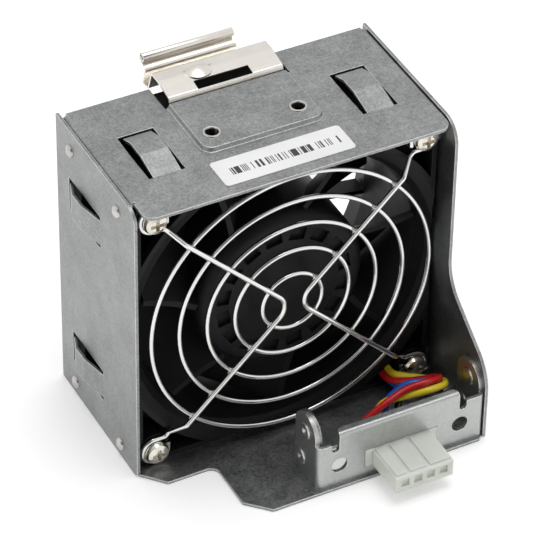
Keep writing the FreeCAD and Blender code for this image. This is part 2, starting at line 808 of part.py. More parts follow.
def bent_wire(points, radii):
    """Wire through points, with a tangent arc of the given radius at each inner point."""
    edges = []
    start = points[0]
    for before, corner, after, radius in zip(points, points[1:], points[2:], radii):
        back = (before - corner).normalize()
        ahead = (after - corner).normalize()
        half_turn = (math.pi - back.getAngle(ahead)) / 2
        reach = radius * math.tan(half_turn)
        first, last = corner + back * reach, corner + ahead * reach
        bisector = (back + ahead).normalize()
        middle = corner + bisector * (radius / math.cos(half_turn) - radius)
        if (first - start).Length > 1e-6:
            edges.append(Part.LineSegment(start, first).toShape())
        edges.append(Part.Arc(first, middle, last).toShape())
        start = last
    edges.append(Part.LineSegment(start, points[-1]).toShape())
    return Part.Wire(edges)


def ribbon(points, radii, thickness):
    """Face of a strip bent along points in a YZ plane: one edge wire either side of them."""
    runs = [(last - first).normalize() for first, last in zip(points, points[1:])]
    sides = []
    for hand in (1, -1):
        corners, bends = [], []
        for point, before, after in zip(points, runs[:1] + runs, runs + runs[-1:]):
            square = Vector(0, -before.z, before.y) * hand
            mitre = (square + Vector(0, -after.z, after.y) * hand).normalize()
            corners.append(point + mitre * (thickness / 2 / mitre.dot(square)))
        for before, after, radius in zip(runs, runs[1:], radii):
            inside = hand * (before.y * after.z - before.z * after.y) > 0
            bends.append(radius + (-thickness if inside else thickness) / 2)
        sides.append(bent_wire(corners, bends))
    edges = sides[0].Edges + sides[1].Edges
    for end in (0, -1):
        one, other = (side.OrderedVertexes[end].Point for side in sides)
        edges.append(Part.LineSegment(one, other).toShape())
    return Part.Face(Part.Wire(Part.__sortEdges__(edges)))


def make_latch_arm():
    """Free arm of the spring: a steep knee, a shallow rise, a V hook and a thumb tab.

    Its bends follow one another along a single strip, so it is a bent centre line given a
    thickness, with its window, catch and narrower tab cut and raised afterwards."""
    middle, half, thick = size("latch_centre"), size("spring_width") / 2, size("spring_sheet")
    bend, top = size("spring_bend"), size(TOP_OUT)
    foot = size(FOOT_LOW) + thick / 2
    crest = top + size("spring_crest_rise")
    line = [
        (size("pad_rear + spring_hinge_gap / 2"), foot, 0),
        (size("spring_root"), foot, bend / 2),
        (size("spring_root + spring_bend"), top + size("spring_knee_rise"), bend),
        (size("spring_root + shoulder_run"), crest - thick / 2, size("shoulder_bend")),
        (size("spring_crest_back + spring_bend"), crest - thick / 2, bend),
        (size("hook_front"), top - size("hook_drop"), bend),
        (size("hook_rear"), top - size("hook_drop") - thick, bend / 2),
        (size("waist_back"), top + size("waist_rise"), bend),
        (size("tab_back"), top + size("tab_rise - tab_lip"), bend),
        (size("tab_back") - 1.5 * thick, top + size("tab_rise"), 0),
    ]
    points = [Vector(middle - half, back, height) for back, height, _ in line]
    strip = ribbon(points, [radius for _, _, radius in line[1:-1]], thick)
    arm = strip.extrude(Vector(2 * half, 0, 0))
    slot_half = size("spring_slot_width") / 2
    slot = Part.makeBox(2 * slot_half, size("spring_slot_length"), top,
                        Vector(middle - slot_half, size("spring_root") + bend, top / 2))
    edge = middle - half + size("tab_width")
    corner = size("tab_corner")
    shoulder = top - size("tab_shoulder")
    beside = Part.makeBox(2 * half, top, top, Vector(edge, size("hook_front") + 2 * thick, shoulder))
    beside = beside.makeFillet(corner, [
        e for e in beside.Edges
        if abs(e.CenterOfMass.x - edge) < 1e-6 and abs(e.CenterOfMass.z - shoulder) < 1e-6
    ])
    slit_back = size("catch_back")
    catch_half, rise = size("catch_width") / 2, size("catch_rise")
    catch_middle = middle - size("catch_offset")
    slit = Part.makeBox(2 * catch_half + 2 * thick, thick / 2, top,
                        Vector(catch_middle - catch_half - thick, slit_back, top / 2))
    ball = (catch_half**2 + rise**2) / (2 * rise)
    centre = Vector(catch_middle, slit_back, crest + rise - ball)
    bump = Part.makeSphere(ball, centre).cut(Part.makeSphere(ball - thick, centre))
    keeping = Vector(catch_middle - 2 * ball, slit_back - ball, crest - thick / 2)
    bump = bump.common(Part.makeBox(4 * ball, ball, ball, keeping))
    arm = arm.cut(slot).cut(beside).cut(slit).fuse(bump)
    made = doc.addObject("Part::Feature", "latch_arm")
    made.Shape = arm.removeSplitter()
    keep(made, "latch_arm")


def make_label():
    owner = new_body("label")
    outline = new_sketch(owner, "XY", across="latch_centre", out=TOP_OUT)
    rounded_rectangle(outline, "-label_width / 2", "-label_front", "label_width / 2",
                      "label_depth - label_front", "label_corner")
    pad(owner, outline, "label_thickness")


# ---------------------------------------------------------------- connector bracket and plug

def make_connector_bracket():
    owner = new_body("connector_bracket")
    face, back = "-bracket_face", "-ear_rear"
    inner_face = f"({face} + bracket_sheet)"
    left_in = EAR_TAB_OUT
    right_in = f"({FLANGE_OUT} - bracket_sheet)"
    section = new_sketch(owner, "XY", out="sheet")
    polygon(section, [
        ("-bracket_left", back), ("-bracket_left", face), (FLANGE_OUT, face), (FLANGE_OUT, back),
        (right_in, back), (right_in, inner_face), (left_in, inner_face), (left_in, back),
    ])
    pad(owner, section, "ear_top - sheet")
    round_edges(owner, "bend_inside", along("z", (left_in, inner_face), (right_in, inner_face)))
    outer_bends = along("z", ("-bracket_left", face), (FLANGE_OUT, face))
    round_edges(owner, "bend_inside + bracket_sheet", outer_bends)
    above = new_sketch(owner, "XZ", out=EAR_FRONT)
    beyond = "(ear_top + bracket_sheet)"
    notch_left = "(crown_left - 2 * notch_radius)"
    notch_right = "(crown_right + 2 * notch_radius)"
    crown = "(crown_top - bracket_sheet)"
    polygon(above, [
        ("-bracket_left - bracket_sheet", "shoulder_top"), (notch_left, "shoulder_top"),
        (notch_left, "notch_height"), ("crown_left", "notch_height"), ("crown_left", crown),
        ("crown_right", crown), ("crown_right", "notch_height"), (notch_right, "notch_height"),
        (notch_right, "shoulder_top"), (f"{FLANGE_OUT} + bracket_sheet", "shoulder_top"),
        (f"{FLANGE_OUT} + bracket_sheet", beyond), ("-bracket_left - bracket_sheet", beyond),
    ])
    cut(owner, above, "2 * bracket_sheet", backwards=True)
    round_edges(owner, "ear_corner", along("x", (f"-{EAR_FRONT}", "ear_top"), (back, "ear_top")))
    fold = new_sketch(owner, "YZ", out="crown_left")
    polygon(fold, [
        (face, crown), (face, "crown_top"), (f"{face} + crown_depth", "crown_top"),
        (f"{face} + crown_depth", crown),
    ])
    pad(owner, fold, "crown_right - crown_left")
    round_edges(owner, "bend_inside + bracket_sheet / 2", along("x", (face, "crown_top")))
    round_edges(owner, "crown_corner", along(
        "z", ("crown_left", f"{face} + crown_depth"), ("crown_right", f"{face} + crown_depth")))
    holes = new_sketch(owner, "XZ", out=EAR_FRONT)
    for edge in (notch_left, "crown_right"):
        circle(holes, f"{edge} + notch_radius", "notch_height", "notch_radius")
    for step in ("0", "guide_spacing"):
        circle(holes, f"guide_left + {step}", "guide_height", "guide_hole")
    cut(owner, holes, "2 * bracket_sheet", backwards=True)
    opening = new_sketch(owner, "XZ", across="plug_centre", out=EAR_FRONT)
    rectangle(opening, "-plug_opening_width / 2", "plug_bottom", "plug_opening_width / 2",
              "plug_bottom + plug_opening_height")
    cut(owner, opening, "2 * bracket_sheet", backwards=True)
    ear_holes = new_sketch(owner, "YZ")
    for rear, height in EAR_RIVETS:
        circle(ear_holes, rear, height, "ear_rivet_shank")
    cut(owner, ear_holes)


def make_bracket_rivets():
    """Two rivets through each ear: ring-shaped heads outside, flat tails inside."""
    owner = new_body("bracket_rivets")
    stack = "(bracket_sheet + sheet)"
    middle = f"(({WALL_OUT} - bracket_left) / 2)"
    for back, height in EAR_RIVETS:
        for side, start in (("-1", "-bracket_left"), ("1", WALL_OUT)):
            profile = new_sketch(owner, "XZ", start, height, f"-({back})")
            out = f"{side} * ear_rivet_rise"
            inside = f"-({side}) * ({stack} + ear_rivet_rise)"
            polygon(profile, [
                (f"-({side}) * ear_rivet_rise / 2", "0"), (out, "ear_rivet_dimple"),
                (out, "ear_rivet - ear_rivet_rise"), ("0", "ear_rivet"), ("0", "ear_rivet_shank"),
                (f"-({side}) * {stack}", "ear_rivet_shank"), (f"-({side}) * {stack}", "ear_rivet"),
                (inside, "ear_rivet - ear_rivet_rise"), (inside, "0"),
            ])
            revolve(owner, profile, "H_Axis")


def make_connector_housing():
    """Nylon plug: a flange seated behind the bracket's opening, a long nose and a tail."""
    owner = new_body("connector_housing")
    middle_height = "(plug_bottom + plug_opening_height / 2)"
    half_high, half_wide = "(plug_height / 2)", "(plug_width / 2)"
    front = new_sketch(owner, "XZ", "plug_centre", middle_height, "plug_tail")
    rounded_rectangle(front, f"-{half_wide}", f"-{half_high}", half_wide, half_high, "plug_corner")
    pad(owner, front, "plug_nose - plug_tail")
    seat = "bracket_face - bracket_sheet - plug_collar"
    flange = new_sketch(owner, "XZ", "plug_centre", middle_height, seat)
    rectangle(flange, "-plug_collar_width / 2", "-plug_collar_height / 2",
              "plug_collar_width / 2", "plug_collar_height / 2")
    pad(owner, flange, "plug_collar")
    tongue = new_sketch(owner, "XZ", "plug_centre", middle_height, seat)
    tongue_wide = "(plug_opening_width / 2 - plug_clearance)"
    tongue_high = "(plug_opening_height / 2 - plug_clearance)"
    rectangle(tongue, f"-{tongue_wide}", f"-{tongue_high}", tongue_wide, tongue_high)
    pad(owner, tongue, "plug_collar + bracket_sheet")
    round_edges(owner, "plug_corner", lambda edge: abs(edge.CenterOfMass.y + size("plug_nose")) < 1e-4)
    cavities = new_sketch(owner, "XZ", "plug_centre", middle_height)
    for number in range(int(size("contact_count"))):
        place = f"({number} - (contact_count - 1) / 2) * contact_pitch"
        rectangle(cavities, f"{place} - contact_cavity", "-contact_cavity",
                  f"{place} + contact_cavity", "contact_cavity")
    cut(owner, cavities)


def make_connector_contacts():
    """Four tubular crimp contacts in the plug's cavities."""
    owner = new_body("connector_contacts")
    middle_height = "(plug_bottom + plug_opening_height / 2)"
    start = "(contact_count - 1) / 2 * contact_pitch"
    tube = new_sketch(owner, "XZ", f"plug_centre - {start}", middle_height, "plug_tail + contact_crimp")
    circle(tube, "0", "0", "contact_cavity")
    circle(tube, "0", "0", "contact_bore")
    barrel = pad(owner, tube, "plug_nose - plug_tail - contact_crimp - contact_set_back")
    doc.recompute()
    made = owner.newObject("PartDesign::LinearPattern", "row")
    made.Originals = [barrel]
    made.Direction = (origin_feature(owner, "X_Axis"), [""])
    tie(made, "Length", "(contact_count - 1) * contact_pitch")
    tie(made, "Occurrences", "contact_count")
    owner.Tip = made


# ---------------------------------------------------------------- fan, modelled along its own axis

def square_spots():
    """The four screw places, as pairs of formulas."""
    half = "hole_spacing / 2"
    return [(f"{a} * {half}", f"{b} * {half}") for a in (-1, 1) for b in (-1, 1)]


def corner_pockets(owner, face, toward_middle):
    """Empties one flange between its rim and its floor."""
    rim = "(fan_size / 2 - frame_wall)"
    outline = new_sketch(owner, "XY", out=face)
    rounded_rectangle(outline, f"-{rim}", f"-{rim}", rim, rim, "fan_corner - frame_wall / 2")
    cut(owner, outline, "flange_depth - frame_wall", backwards=toward_middle)


def screw_bosses(owner, face):
    outline = new_sketch(owner, "XY", out=face)
    for across, up in square_spots():
        circle(outline, across, up, "screw_boss")
    pad(owner, outline, "flange_depth - frame_wall / 2")


def lead_bar(owner, inner, outer, width, face, depth, add):
    """Radial bar or slot, on the side where the lead leaves the motor."""
    made = new_sketch(owner, "XY", out=face)
    cosine, sine = "cos(lead_angle)", "sin(lead_angle)"
    corners = []
    for run, side in ((inner, "-"), (outer, "-"), (outer, "+"), (inner, "+")):
        other = "+" if side == "-" else "-"
        corners.append((f"({run}) * {cosine} {other} ({width}) / 2 * {sine}",
                        f"({run}) * {sine} {side} ({width}) / 2 * {cosine}"))
    polygon(made, corners)
    if add:
        pad(owner, made, depth)
    else:
        cut(owner, made, depth, backwards=True)


# Curve of the inlet bell, as shares of its flare and of its depth.
BELL_SHAPE = [(1, 0), (0.5, 0.13), (0.2, 0.4), (0, 1)]


def make_fan_frame():
    owner = new_body("fan_frame")
    half = "(fan_size / 2)"
    block = new_sketch(owner, "XY")
    rounded_rectangle(block, f"-{half}", f"-{half}", half, half, "fan_corner")
    pad(owner, block, "fan_depth")
    corner_pockets(owner, "0", True)
    corner_pockets(owner, "fan_depth", False)
    waist = new_sketch(owner, "XY", out="flange_depth")
    rectangle(waist, f"-{half} - frame_wall", f"-{half} - frame_wall", f"{half} + frame_wall",
              f"{half} + frame_wall")
    circle(waist, "0", "0", "bore_radius + duct_wall")
    cut(owner, waist, "fan_depth - 2 * flange_depth", backwards=True)
    screw_bosses(owner, "0")
    screw_bosses(owner, "fan_depth - flange_depth + frame_wall / 2")
    bell = new_sketch(owner, "XZ")
    outer = "(inlet_radius + frame_wall)"
    polygon(bell, [
        ("bore_radius", "0"), (outer, "0"), (outer, "inlet_depth / 3"),
        ("bore_radius + duct_wall", "flange_depth - frame_wall"),
        ("bore_radius", "flange_depth - frame_wall"),
    ])
    revolve(owner, bell)
    tail = new_sketch(owner, "XZ")
    polygon(tail, [
        ("bore_radius", "fan_depth"), ("bore_radius + outlet_flare + duct_wall", "fan_depth"),
        ("bore_radius + duct_wall", "fan_depth - flange_depth + frame_wall"),
        ("bore_radius", "fan_depth - flange_depth + frame_wall"),
    ])
    revolve(owner, tail)
    outside = new_sketch(owner, "XY")
    wide = f"({half} + inlet_radius)"
    rectangle(outside, f"-{wide}", f"-{wide}", wide, wide)
    rounded_rectangle(outside, f"-{half}", f"-{half}", half, half, "fan_corner")
    cut(owner, outside)
    air_way = new_sketch(owner, "XZ")
    flare = "(inlet_radius - bore_radius)"
    bell_curve = [(f"bore_radius + {flare} * {out}", f"inlet_depth * {back}") for out, back in BELL_SHAPE]
    polygon(air_way, [
        ("0", "-1"), ("inlet_radius", "-1"), *bell_curve,
        ("bore_radius", "fan_depth - inlet_depth"), ("bore_radius + outlet_flare", "fan_depth"),
        ("bore_radius + outlet_flare", "fan_depth + 1"), ("0", "fan_depth + 1"),
    ])
    groove(owner, air_way)
    holes = new_sketch(owner, "XY")
    for across, up in square_spots():
        circle(holes, across, up, "fan_hole")
    cut(owner, holes)
    cup = new_sketch(owner, "XZ")
    polygon(cup, [
        ("tube_radius", "fan_depth"), ("motor_radius", "fan_depth"), ("motor_radius", "motor_cup_front"),
        ("motor_radius - motor_wall", "motor_cup_front"),
        ("motor_radius - motor_wall", "fan_depth - motor_floor"),
        ("tube_radius + socket_wall", "fan_depth - motor_floor"),
        ("tube_radius + socket_wall", "socket_front"), ("tube_radius", "socket_front"),
    ])
    revolve(owner, cup)
    plug_floor = new_sketch(owner, "XY", out="fan_depth - motor_floor / 2")
    circle(plug_floor, "0", "0", "tube_radius + socket_wall / 2")
    pad(owner, plug_floor, "motor_floor / 2")
    vane = new_sketch(owner, "XZ")
    vane.AttachmentOffset = Placement(Vector(), Rotation(Vector(0, 1, 0), size("lead_angle")))
    inner, outer = "(motor_radius - motor_wall / 2)", "(bore_radius + duct_wall / 2)"
    polygon(vane, [
        (inner, "vane_front + vane_rake"), (outer, "vane_front"), (outer, "fan_depth - frame_wall"),
        (inner, "fan_depth - frame_wall / 2"),
    ])
    blade = pad(owner, vane, "vane_thickness", symmetric=True)
    doc.recompute()
    ring_pattern(owner, [blade], "vane_count")
    deep = "(fan_depth - channel_front)"
    lead_bar(owner, inner, outer, "lead_channel + 2 * frame_wall", "channel_front - frame_wall",
             f"{deep} + frame_wall", True)
    lead_bar(owner, "lead_end - lead_spacing", "bore_radius + outlet_flare + 2 * duct_wall",
             "lead_channel", "channel_front", f"{deep} + frame_wall", False)
    ports = new_sketch(owner, "XY", out="flange_depth - 2 * frame_wall")
    circle(ports, "lead_radius * cos(lead_angle)", "lead_radius * sin(lead_angle)",
           "lead_spacing * 0.71 + lead_wire + lead_clearance")
    cut(owner, ports, "fan_depth - 2 * flange_depth + 4 * frame_wall", backwards=True)
    face_along_air(owner)


# ---------------------------------------------------------------- impeller and motor

def blade_section(radius, reach):
    """Thin cambered section of a blade, in a plane square to the radius: two arcs, blunt ends."""
    thick, bulge = size("blade_thickness"), size("blade_camber")
    lead, trail = size("blade_front"), size("blade_rear")
    corners = [(-reach - thick / 2, lead), (reach - thick / 2, trail),
               (reach + thick / 2, trail), (-reach + thick / 2, lead)]
    points = [Vector(radius, across, up) for across, up in corners]
    chord = points[1] - points[0]
    lift = Vector(0, -chord.z, chord.y).normalize() * bulge
    edges = []
    for index, first in enumerate(points):
        last = points[(index + 1) % 4]
        if index % 2:
            edges.append(Part.LineSegment(first, last).toShape())
        else:
            edges.append(Part.Arc(first, (first + last) / 2 + lift, last).toShape())
    return Part.Wire(edges)


def turned(corners):
    """Solid of revolution about Z from an outline in radius and height."""
    face = Part.Face(Part.makePolygon([Vector(r, 0, z) for r, z in corners + corners[:1]]))
    return face.revolve(Vector(), Vector(0, 0, 1), 360)


def make_impeller():
    """Hub with a ring of recesses in its face and swept blades trimmed to the frame's bore.

    The blades are lofted between cambered sections and then trimmed by cylinders inside and
    out, which sketches on flat planes can't do, so this piece is made with shape functions."""
    hub, front, rear = size("hub_radius"), size("hub_front"), size("hub_rear")
    cup, face, boss = size(CUP_RADIUS), front + size("hub_face_skin"), size("hub_boss")
    boss_rear, pin = size("hub_boss_rear"), size("shaft_radius")
    body = turned([(0, front), (hub, front), (hub, rear), (cup, rear), (cup, face), (boss, face),
                   (boss, boss_rear), (pin, boss_rear), (pin, size("shaft_front")),
                   (0, size("shaft_front"))])
    shoulder = [e for e in body.Edges if e.Curve.TypeId == "Part::GeomCircle"
                and abs(e.Curve.Radius - hub) < 1e-6 and abs(e.CenterOfMass.z - front) < 1e-6]
    body = body.makeFillet(size("hub_edge"), shoulder)
    tip, reach = size("bore_radius - blade_tip_gap"), size("blade_reach")
    sections = [blade_section(size("hub_radius - hub_edge"), size("blade_root_share") * reach),
                blade_section((hub + tip) / 2, reach),
                blade_section(tip + size("blade_camber") / 2, size("blade_tip_share") * reach)]
    blade = Part.makeLoft(sections, True)
    depth = size("fan_depth")
    blade = blade.common(Part.makeCylinder(tip, depth)).cut(Part.makeCylinder((cup + hub) / 2, depth))
    count, turn = int(size("blade_count")), size("impeller_turn")
    blades = []
    for number in range(count):
        copy = blade.copy()
        copy.rotate(Vector(), Vector(0, 0, 1), turn + number * 360 / count)
        blades.append(copy)
    body = body.fuse(blades)
    inner, outer, wide = size("pocket_inner"), size("pocket_outer"), size("pocket_width")
    count = int(size("pocket_count"))
    recesses = []
    for number in range(count):
        recess = Part.makeBox(outer - inner, wide, size("pocket_depth"), Vector(inner, -wide / 2, front))
        recess.rotate(Vector(), Vector(0, 0, 1), turn + number * 360 / count)
        recesses.append(recess)
    made = doc.addObject("Part::Feature", "impeller")
    made.Shape = body.cut(recesses)
    face_along_air(made)
    keep(made, "impeller")


def turned_ring(label, inner, outer, front, rear):
    """Plain ring about the fan's axis."""
    owner = new_body(label)
    section = new_sketch(owner, "XZ")
    rectangle(section, inner, front, outer, rear)
    revolve(owner, section)
    face_along_air(owner)
    return owner


def make_rotor_parts():
    yoke = "hub_front + hub_face_skin"
    turned_ring("rotor_yoke", MAGNET_OUT, CUP_RADIUS, yoke, "yoke_rear")
    turned_ring("rotor_magnet", MAGNET_IN, MAGNET_OUT, "magnet_front", "magnet_rear")
    turned_ring("shaft", "0", "shaft_radius", "shaft_front", "shaft_rear")
    clip = "rear_bearing_face + bearing_width + clip_gap"
    turned_ring("shaft_clip", "shaft_radius", "clip_radius", clip, f"{clip} + clip_thickness")


def make_bearing(label, face):
    """Ball bearing as two rings and the shielded gap between them, turned in one profile."""
    owner = new_body(label)
    section = new_sketch(owner, "XZ")
    inner = "(shaft_radius + shaft_clearance)"
    wall = "bearing_ring"
    rear = f"({face} + bearing_width)"
    polygon(section, [
        (inner, face), (f"{inner} + {wall}", face), (f"{inner} + {wall}", f"{face} + shield_depth"),
        (f"bearing_radius - {wall}", f"{face} + shield_depth"), (f"bearing_radius - {wall}", face),
        ("bearing_radius", face), ("bearing_radius", rear), (f"bearing_radius - {wall}", rear),
        (f"bearing_radius - {wall}", f"{rear} - shield_depth"),
        (f"{inner} + {wall}", f"{rear} - shield_depth"), (f"{inner} + {wall}", rear), (inner, rear),
    ])
    revolve(owner, section)
    face_along_air(owner)


def make_bearing_tube():
    owner = new_body("bearing_tube")
    section = new_sketch(owner, "XZ")
    seat = "front_bearing_face + bearing_width + spring_space"
    polygon(section, [
        ("bearing_radius", "tube_front"), ("tube_radius", "tube_front"),
        ("tube_radius", "fan_depth - motor_floor / 2"), ("bearing_radius", "fan_depth - motor_floor / 2"),
        ("bearing_radius", "rear_bearing_face"), ("tube_waist", "rear_bearing_face"),
        ("tube_waist", seat), ("bearing_radius", seat),
    ])
    revolve(owner, section)
    face_along_air(owner)


def make_preload_spring():
    front = "front_bearing_face + bearing_width"
    turned_ring("preload_spring", "tube_waist", "bearing_radius", front, f"{front} + spring_space")


def cross_arms(owner, width, reach, front, length):
    """Straight arms across the axis, one pair for each two poles."""
    outline = new_sketch(owner, "XY", out=front)
    rectangle(outline, "core_hub - tube_radius / 4", f"-({width}) / 2", reach, f"({width}) / 2")
    arm = pad(owner, outline, length)
    doc.recompute()
    ring_pattern(owner, [arm], "pole_count")


def make_stator_core():
    owner = new_body("stator_core")
    stack = "(core_rear - core_front)"
    hub = new_sketch(owner, "XY", out="core_front")
    circle(hub, "0", "0", "core_hub")
    circle(hub, "0", "0", "tube_radius")
    pad(owner, hub, stack)
    cross_arms(owner, "pole_width", f"{CORE_RADIUS} - shoe_depth / 2", "core_front", stack)
    shoes = new_sketch(owner, "XY", out="core_front")
    circle(shoes, "0", "0", CORE_RADIUS)
    circle(shoes, "0", "0", f"{CORE_RADIUS} - shoe_depth")
    pad(owner, shoes, stack)
    slot = new_sketch(owner, "XY", out="core_front")
    slot.AttachmentOffset = Placement(Vector(), Rotation(Vector(0, 0, 1), 180 / size("pole_count")))
    tie(slot, "AttachmentOffset.Base.z", "core_front")
    rectangle(slot, f"{CORE_RADIUS} - shoe_depth - air_gap", "-slot_width / 2",
              f"{CORE_RADIUS} + air_gap", "slot_width / 2")
    gap = cut(owner, slot, stack, backwards=True)
    ring_pattern(owner, [gap], "pole_count")
    face_along_air(owner)


def make_insulator(label, front, away, posts):
    """Moulded end piece of the stator: hub ring, arms under the coils and upright rims."""
    owner = new_body(label)
    hub = new_sketch(owner, "XY", out=front)
    circle(hub, "0", "0", "core_hub + insulator")
    circle(hub, "0", "0", "tube_radius")
    pad(owner, hub, "insulator")
    cross_arms(owner, "pole_width + insulator", f"{CORE_RADIUS} - shoe_depth / 2", front, "insulator")
    rim_front = front if away > 0 else f"{front} - coil_build"
    rim = new_sketch(owner, "XY", out=rim_front)
    outer = f"({CORE_RADIUS} - shoe_depth / 2)"
    rectangle(rim, f"{outer} - insulator", "-pole_width", outer, "pole_width")
    wall = pad(owner, rim, "insulator + coil_build")
    doc.recompute()
    ring_pattern(owner, [wall], "pole_count")
    if posts:
        post = new_sketch(owner, "XY", out=front)
        spot = "core_hub * 0.8"
        circle(post, spot, spot, "post_radius")
        pin = pad(owner, post, f"board_face - ({front})")
        doc.recompute()
        ring_pattern(owner, [pin], "pole_count")
    face_along_air(owner)


def make_coil_windings():
    """One wound coil round each pole, over the insulators' arms."""
    owner = new_body("coil_windings")
    face = "(core_hub + insulator)"
    coil = new_sketch(owner, "YZ", out=face)
    half_wide = "((pole_width + insulator) / 2)"
    low, high = "(core_front - insulator)", "(core_rear + insulator)"
    rounded_rectangle(coil, f"-{half_wide} - coil_build", f"{low} - coil_build",
                      f"{half_wide} + coil_build", f"{high} + coil_build", "coil_build")
    rectangle(coil, f"-{half_wide}", low, half_wide, high)
    wound = pad(owner, coil, f"{CORE_RADIUS} - shoe_depth - insulator - {face}")
    doc.recompute()
    ring_pattern(owner, [wound], "pole_count")
    face_along_air(owner)


def make_circuit_board():
    owner = new_body("circuit_board")
    outline = new_sketch(owner, "XY", out="board_face")
    circle(outline, "0", "0", "board_radius")
    circle(outline, "0", "0", "board_bore")
    pad(owner, outline, "board_thickness")
    face_along_air(owner)


# Parts on the board's rear: middle across and up from the axis, width, height and thickness.
BOARD_PARTS = [
    (-12.0, -3.6, 5.0, 4.0, 1.5),
    (-3.6, -12.5, 4.0, 3.0, 1.2),
    (7.5, -11.5, 2.5, 1.6, 1.0),
    (-6.0, 9.5, 3.2, 1.6, 1.2),
    (11.5, -3.0, 2.0, 1.3, 0.8),
]


def make_board_parts():
    """Driver chip, Hall sensor and capacitors on the rear of the board."""
    owner = new_body("board_parts")
    for across, up, wide, high, thick in BOARD_PARTS:
        outline = new_sketch(owner, "XY", str(across), str(up), "(board_face + board_thickness)")
        rectangle(outline, f"-{wide} / 2", f"-{high} / 2", f"{wide} / 2", f"{high} / 2")
        pad(owner, outline, str(thick))
    face_along_air(owner)


# ---------------------------------------------------------------- finger guard

RIB_PLANE = "(ring_stand_off + ring_wire + rib_wire - weld_sink)"


def make_guard_rings():
    """Five concentric wire rings in front of the inlet."""
    owner = new_body("guard_rings")
    sections = new_sketch(owner, "XZ")
    for number in range(int(size("ring_count"))):
        circle(sections, f"ring_first + {number} * ring_pitch", "-ring_stand_off", "ring_wire")
    revolve(owner, sections)
    face_along_air(owner)


def swept(path, radius):
    """Round bar along a wire."""
    start = path.OrderedVertexes[0].Point
    first = path.OrderedEdges[0]
    heading = first.tangentAt(first.FirstParameter)
    if (first.valueAt(first.FirstParameter) - start).Length > 1e-6:
        heading = first.tangentAt(first.LastParameter) * -1
    section = Part.Wire(Part.makeCircle(radius, start, heading))
    return path.makePipeShell([section], True, False)


def make_guard_rib(label, side):
    """One V-shaped rib: an eye round each screw, a crank clear of the fan's face, two straight
    legs across the rings and a round apex beside the centre. Its wire is bent in two planes."""
    half, eye = size("hole_spacing / 2"), size("eye_radius")
    near, far = -size("rib_wire"), -size(RIB_PLANE)
    vertex, bend = size("rib_vertex"), 2 * size("rib_wire")
    upper = [
        (half - eye, near, half - size("eye_opening"), 0),
        (half - eye, near, half + eye, eye - size("eye_flat")),
        (half + eye, near, half + eye, eye - size("eye_flat")),
        (half + eye, near, half - eye, eye - size("eye_flat")),
        (vertex + half - eye, near, half - eye, bend),
        (vertex + size("crank_end"), near, size("crank_end"), bend),
        (vertex + size("crank_start"), far, size("crank_start"), bend),
    ]
    line = upper + [(vertex, far, 0, size("rib_bend"))]
    line += [(across, back, -up, radius) for across, back, up, radius in upper[::-1]]
    axis = size(FAN_AXIS)
    points = [Vector(side * across, back, axis + up) for across, back, up, _ in line]
    made = doc.addObject("Part::Feature", label)
    made.Shape = swept(bent_wire(points, [radius for *_, radius in line[1:-1]]), size("rib_wire"))
    keep(made, label)


# Side view of a pan head from its flat top, as shares of its radius and of its rise.
PAN_HEAD = [(0.5, 0), (0.88, 0.3), (1, 0.7)]


def make_guard_screws():
    """Four pan-head machine screws with crossed recesses."""
    owner = new_body("guard_screws")
    corner = f"{FAN_AXIS} - hole_spacing / 2"
    seat = "-2 * rib_wire"
    top = f"{seat} - screw_head_rise"
    profile = new_sketch(owner, "XY", "-hole_spacing / 2", "0", corner)
    dome = [(f"screw_head * {out}", f"{top} + screw_head_rise * {down}") for out, down in PAN_HEAD]
    polygon(profile, [
        ("0", top), *dome, ("screw_head", seat), ("screw_shank", seat),
        ("screw_shank", "screw_length - screw_shank / 2"), ("screw_shank / 2", "screw_length"),
        ("0", "screw_length"),
    ])
    blank = revolve(owner, profile)
    cross = new_sketch(owner, "XZ", "-hole_spacing / 2", corner, f"-({top})")
    narrow, wide = "screw_slot / 2", "screw_slot_length / 2"
    polygon(cross, [
        (f"-{wide}", f"-{narrow}"), (f"-{narrow}", f"-{narrow}"), (f"-{narrow}", f"-{wide}"),
        (narrow, f"-{wide}"), (narrow, f"-{narrow}"), (wide, f"-{narrow}"), (wide, narrow),
        (narrow, narrow), (narrow, wide), (f"-{narrow}", wide), (f"-{narrow}", narrow),
        (f"-{wide}", narrow),
    ])
    recess = cut(owner, cross, "screw_recess")
    grid_pattern(owner, [blank, recess], [("X_Axis", "hole_spacing"), ("Z_Axis", "hole_spacing")])


# ---------------------------------------------------------------- lead

# Middle of the four-wire bundle, on its way from the frame's lower right corner to the plug:
# across, back and up from where it leaves the frame, chosen by hand. The slack is one loop.
LEAD_ROUTE = [
    (1.65, -6.0, 0.9),
    (4.85, -9.4, 2.0),
    (7.35, -13.0, 4.2),
    (5.65, -16.4, 7.0),
    (1.45, -16.6, 8.0),
    (-2.95, -14.8, 7.2),
]
# Each wire: its place in the bundle, outwards and sideways, and where it passes on its way
# down to its own contact, in the order of the contacts from left to right.
LEAD_WIRES = {
    "red": ((-1, -1), (17.8, -16.4, 10.4)),
    "yellow": ((-1, 1), (19.4, -14.0, 9.4)),
    "blue": ((1, -1), (21.6, -12.4, 8.0)),
    "black": ((1, 1), (24.6, -13.6, 8.4)),
}


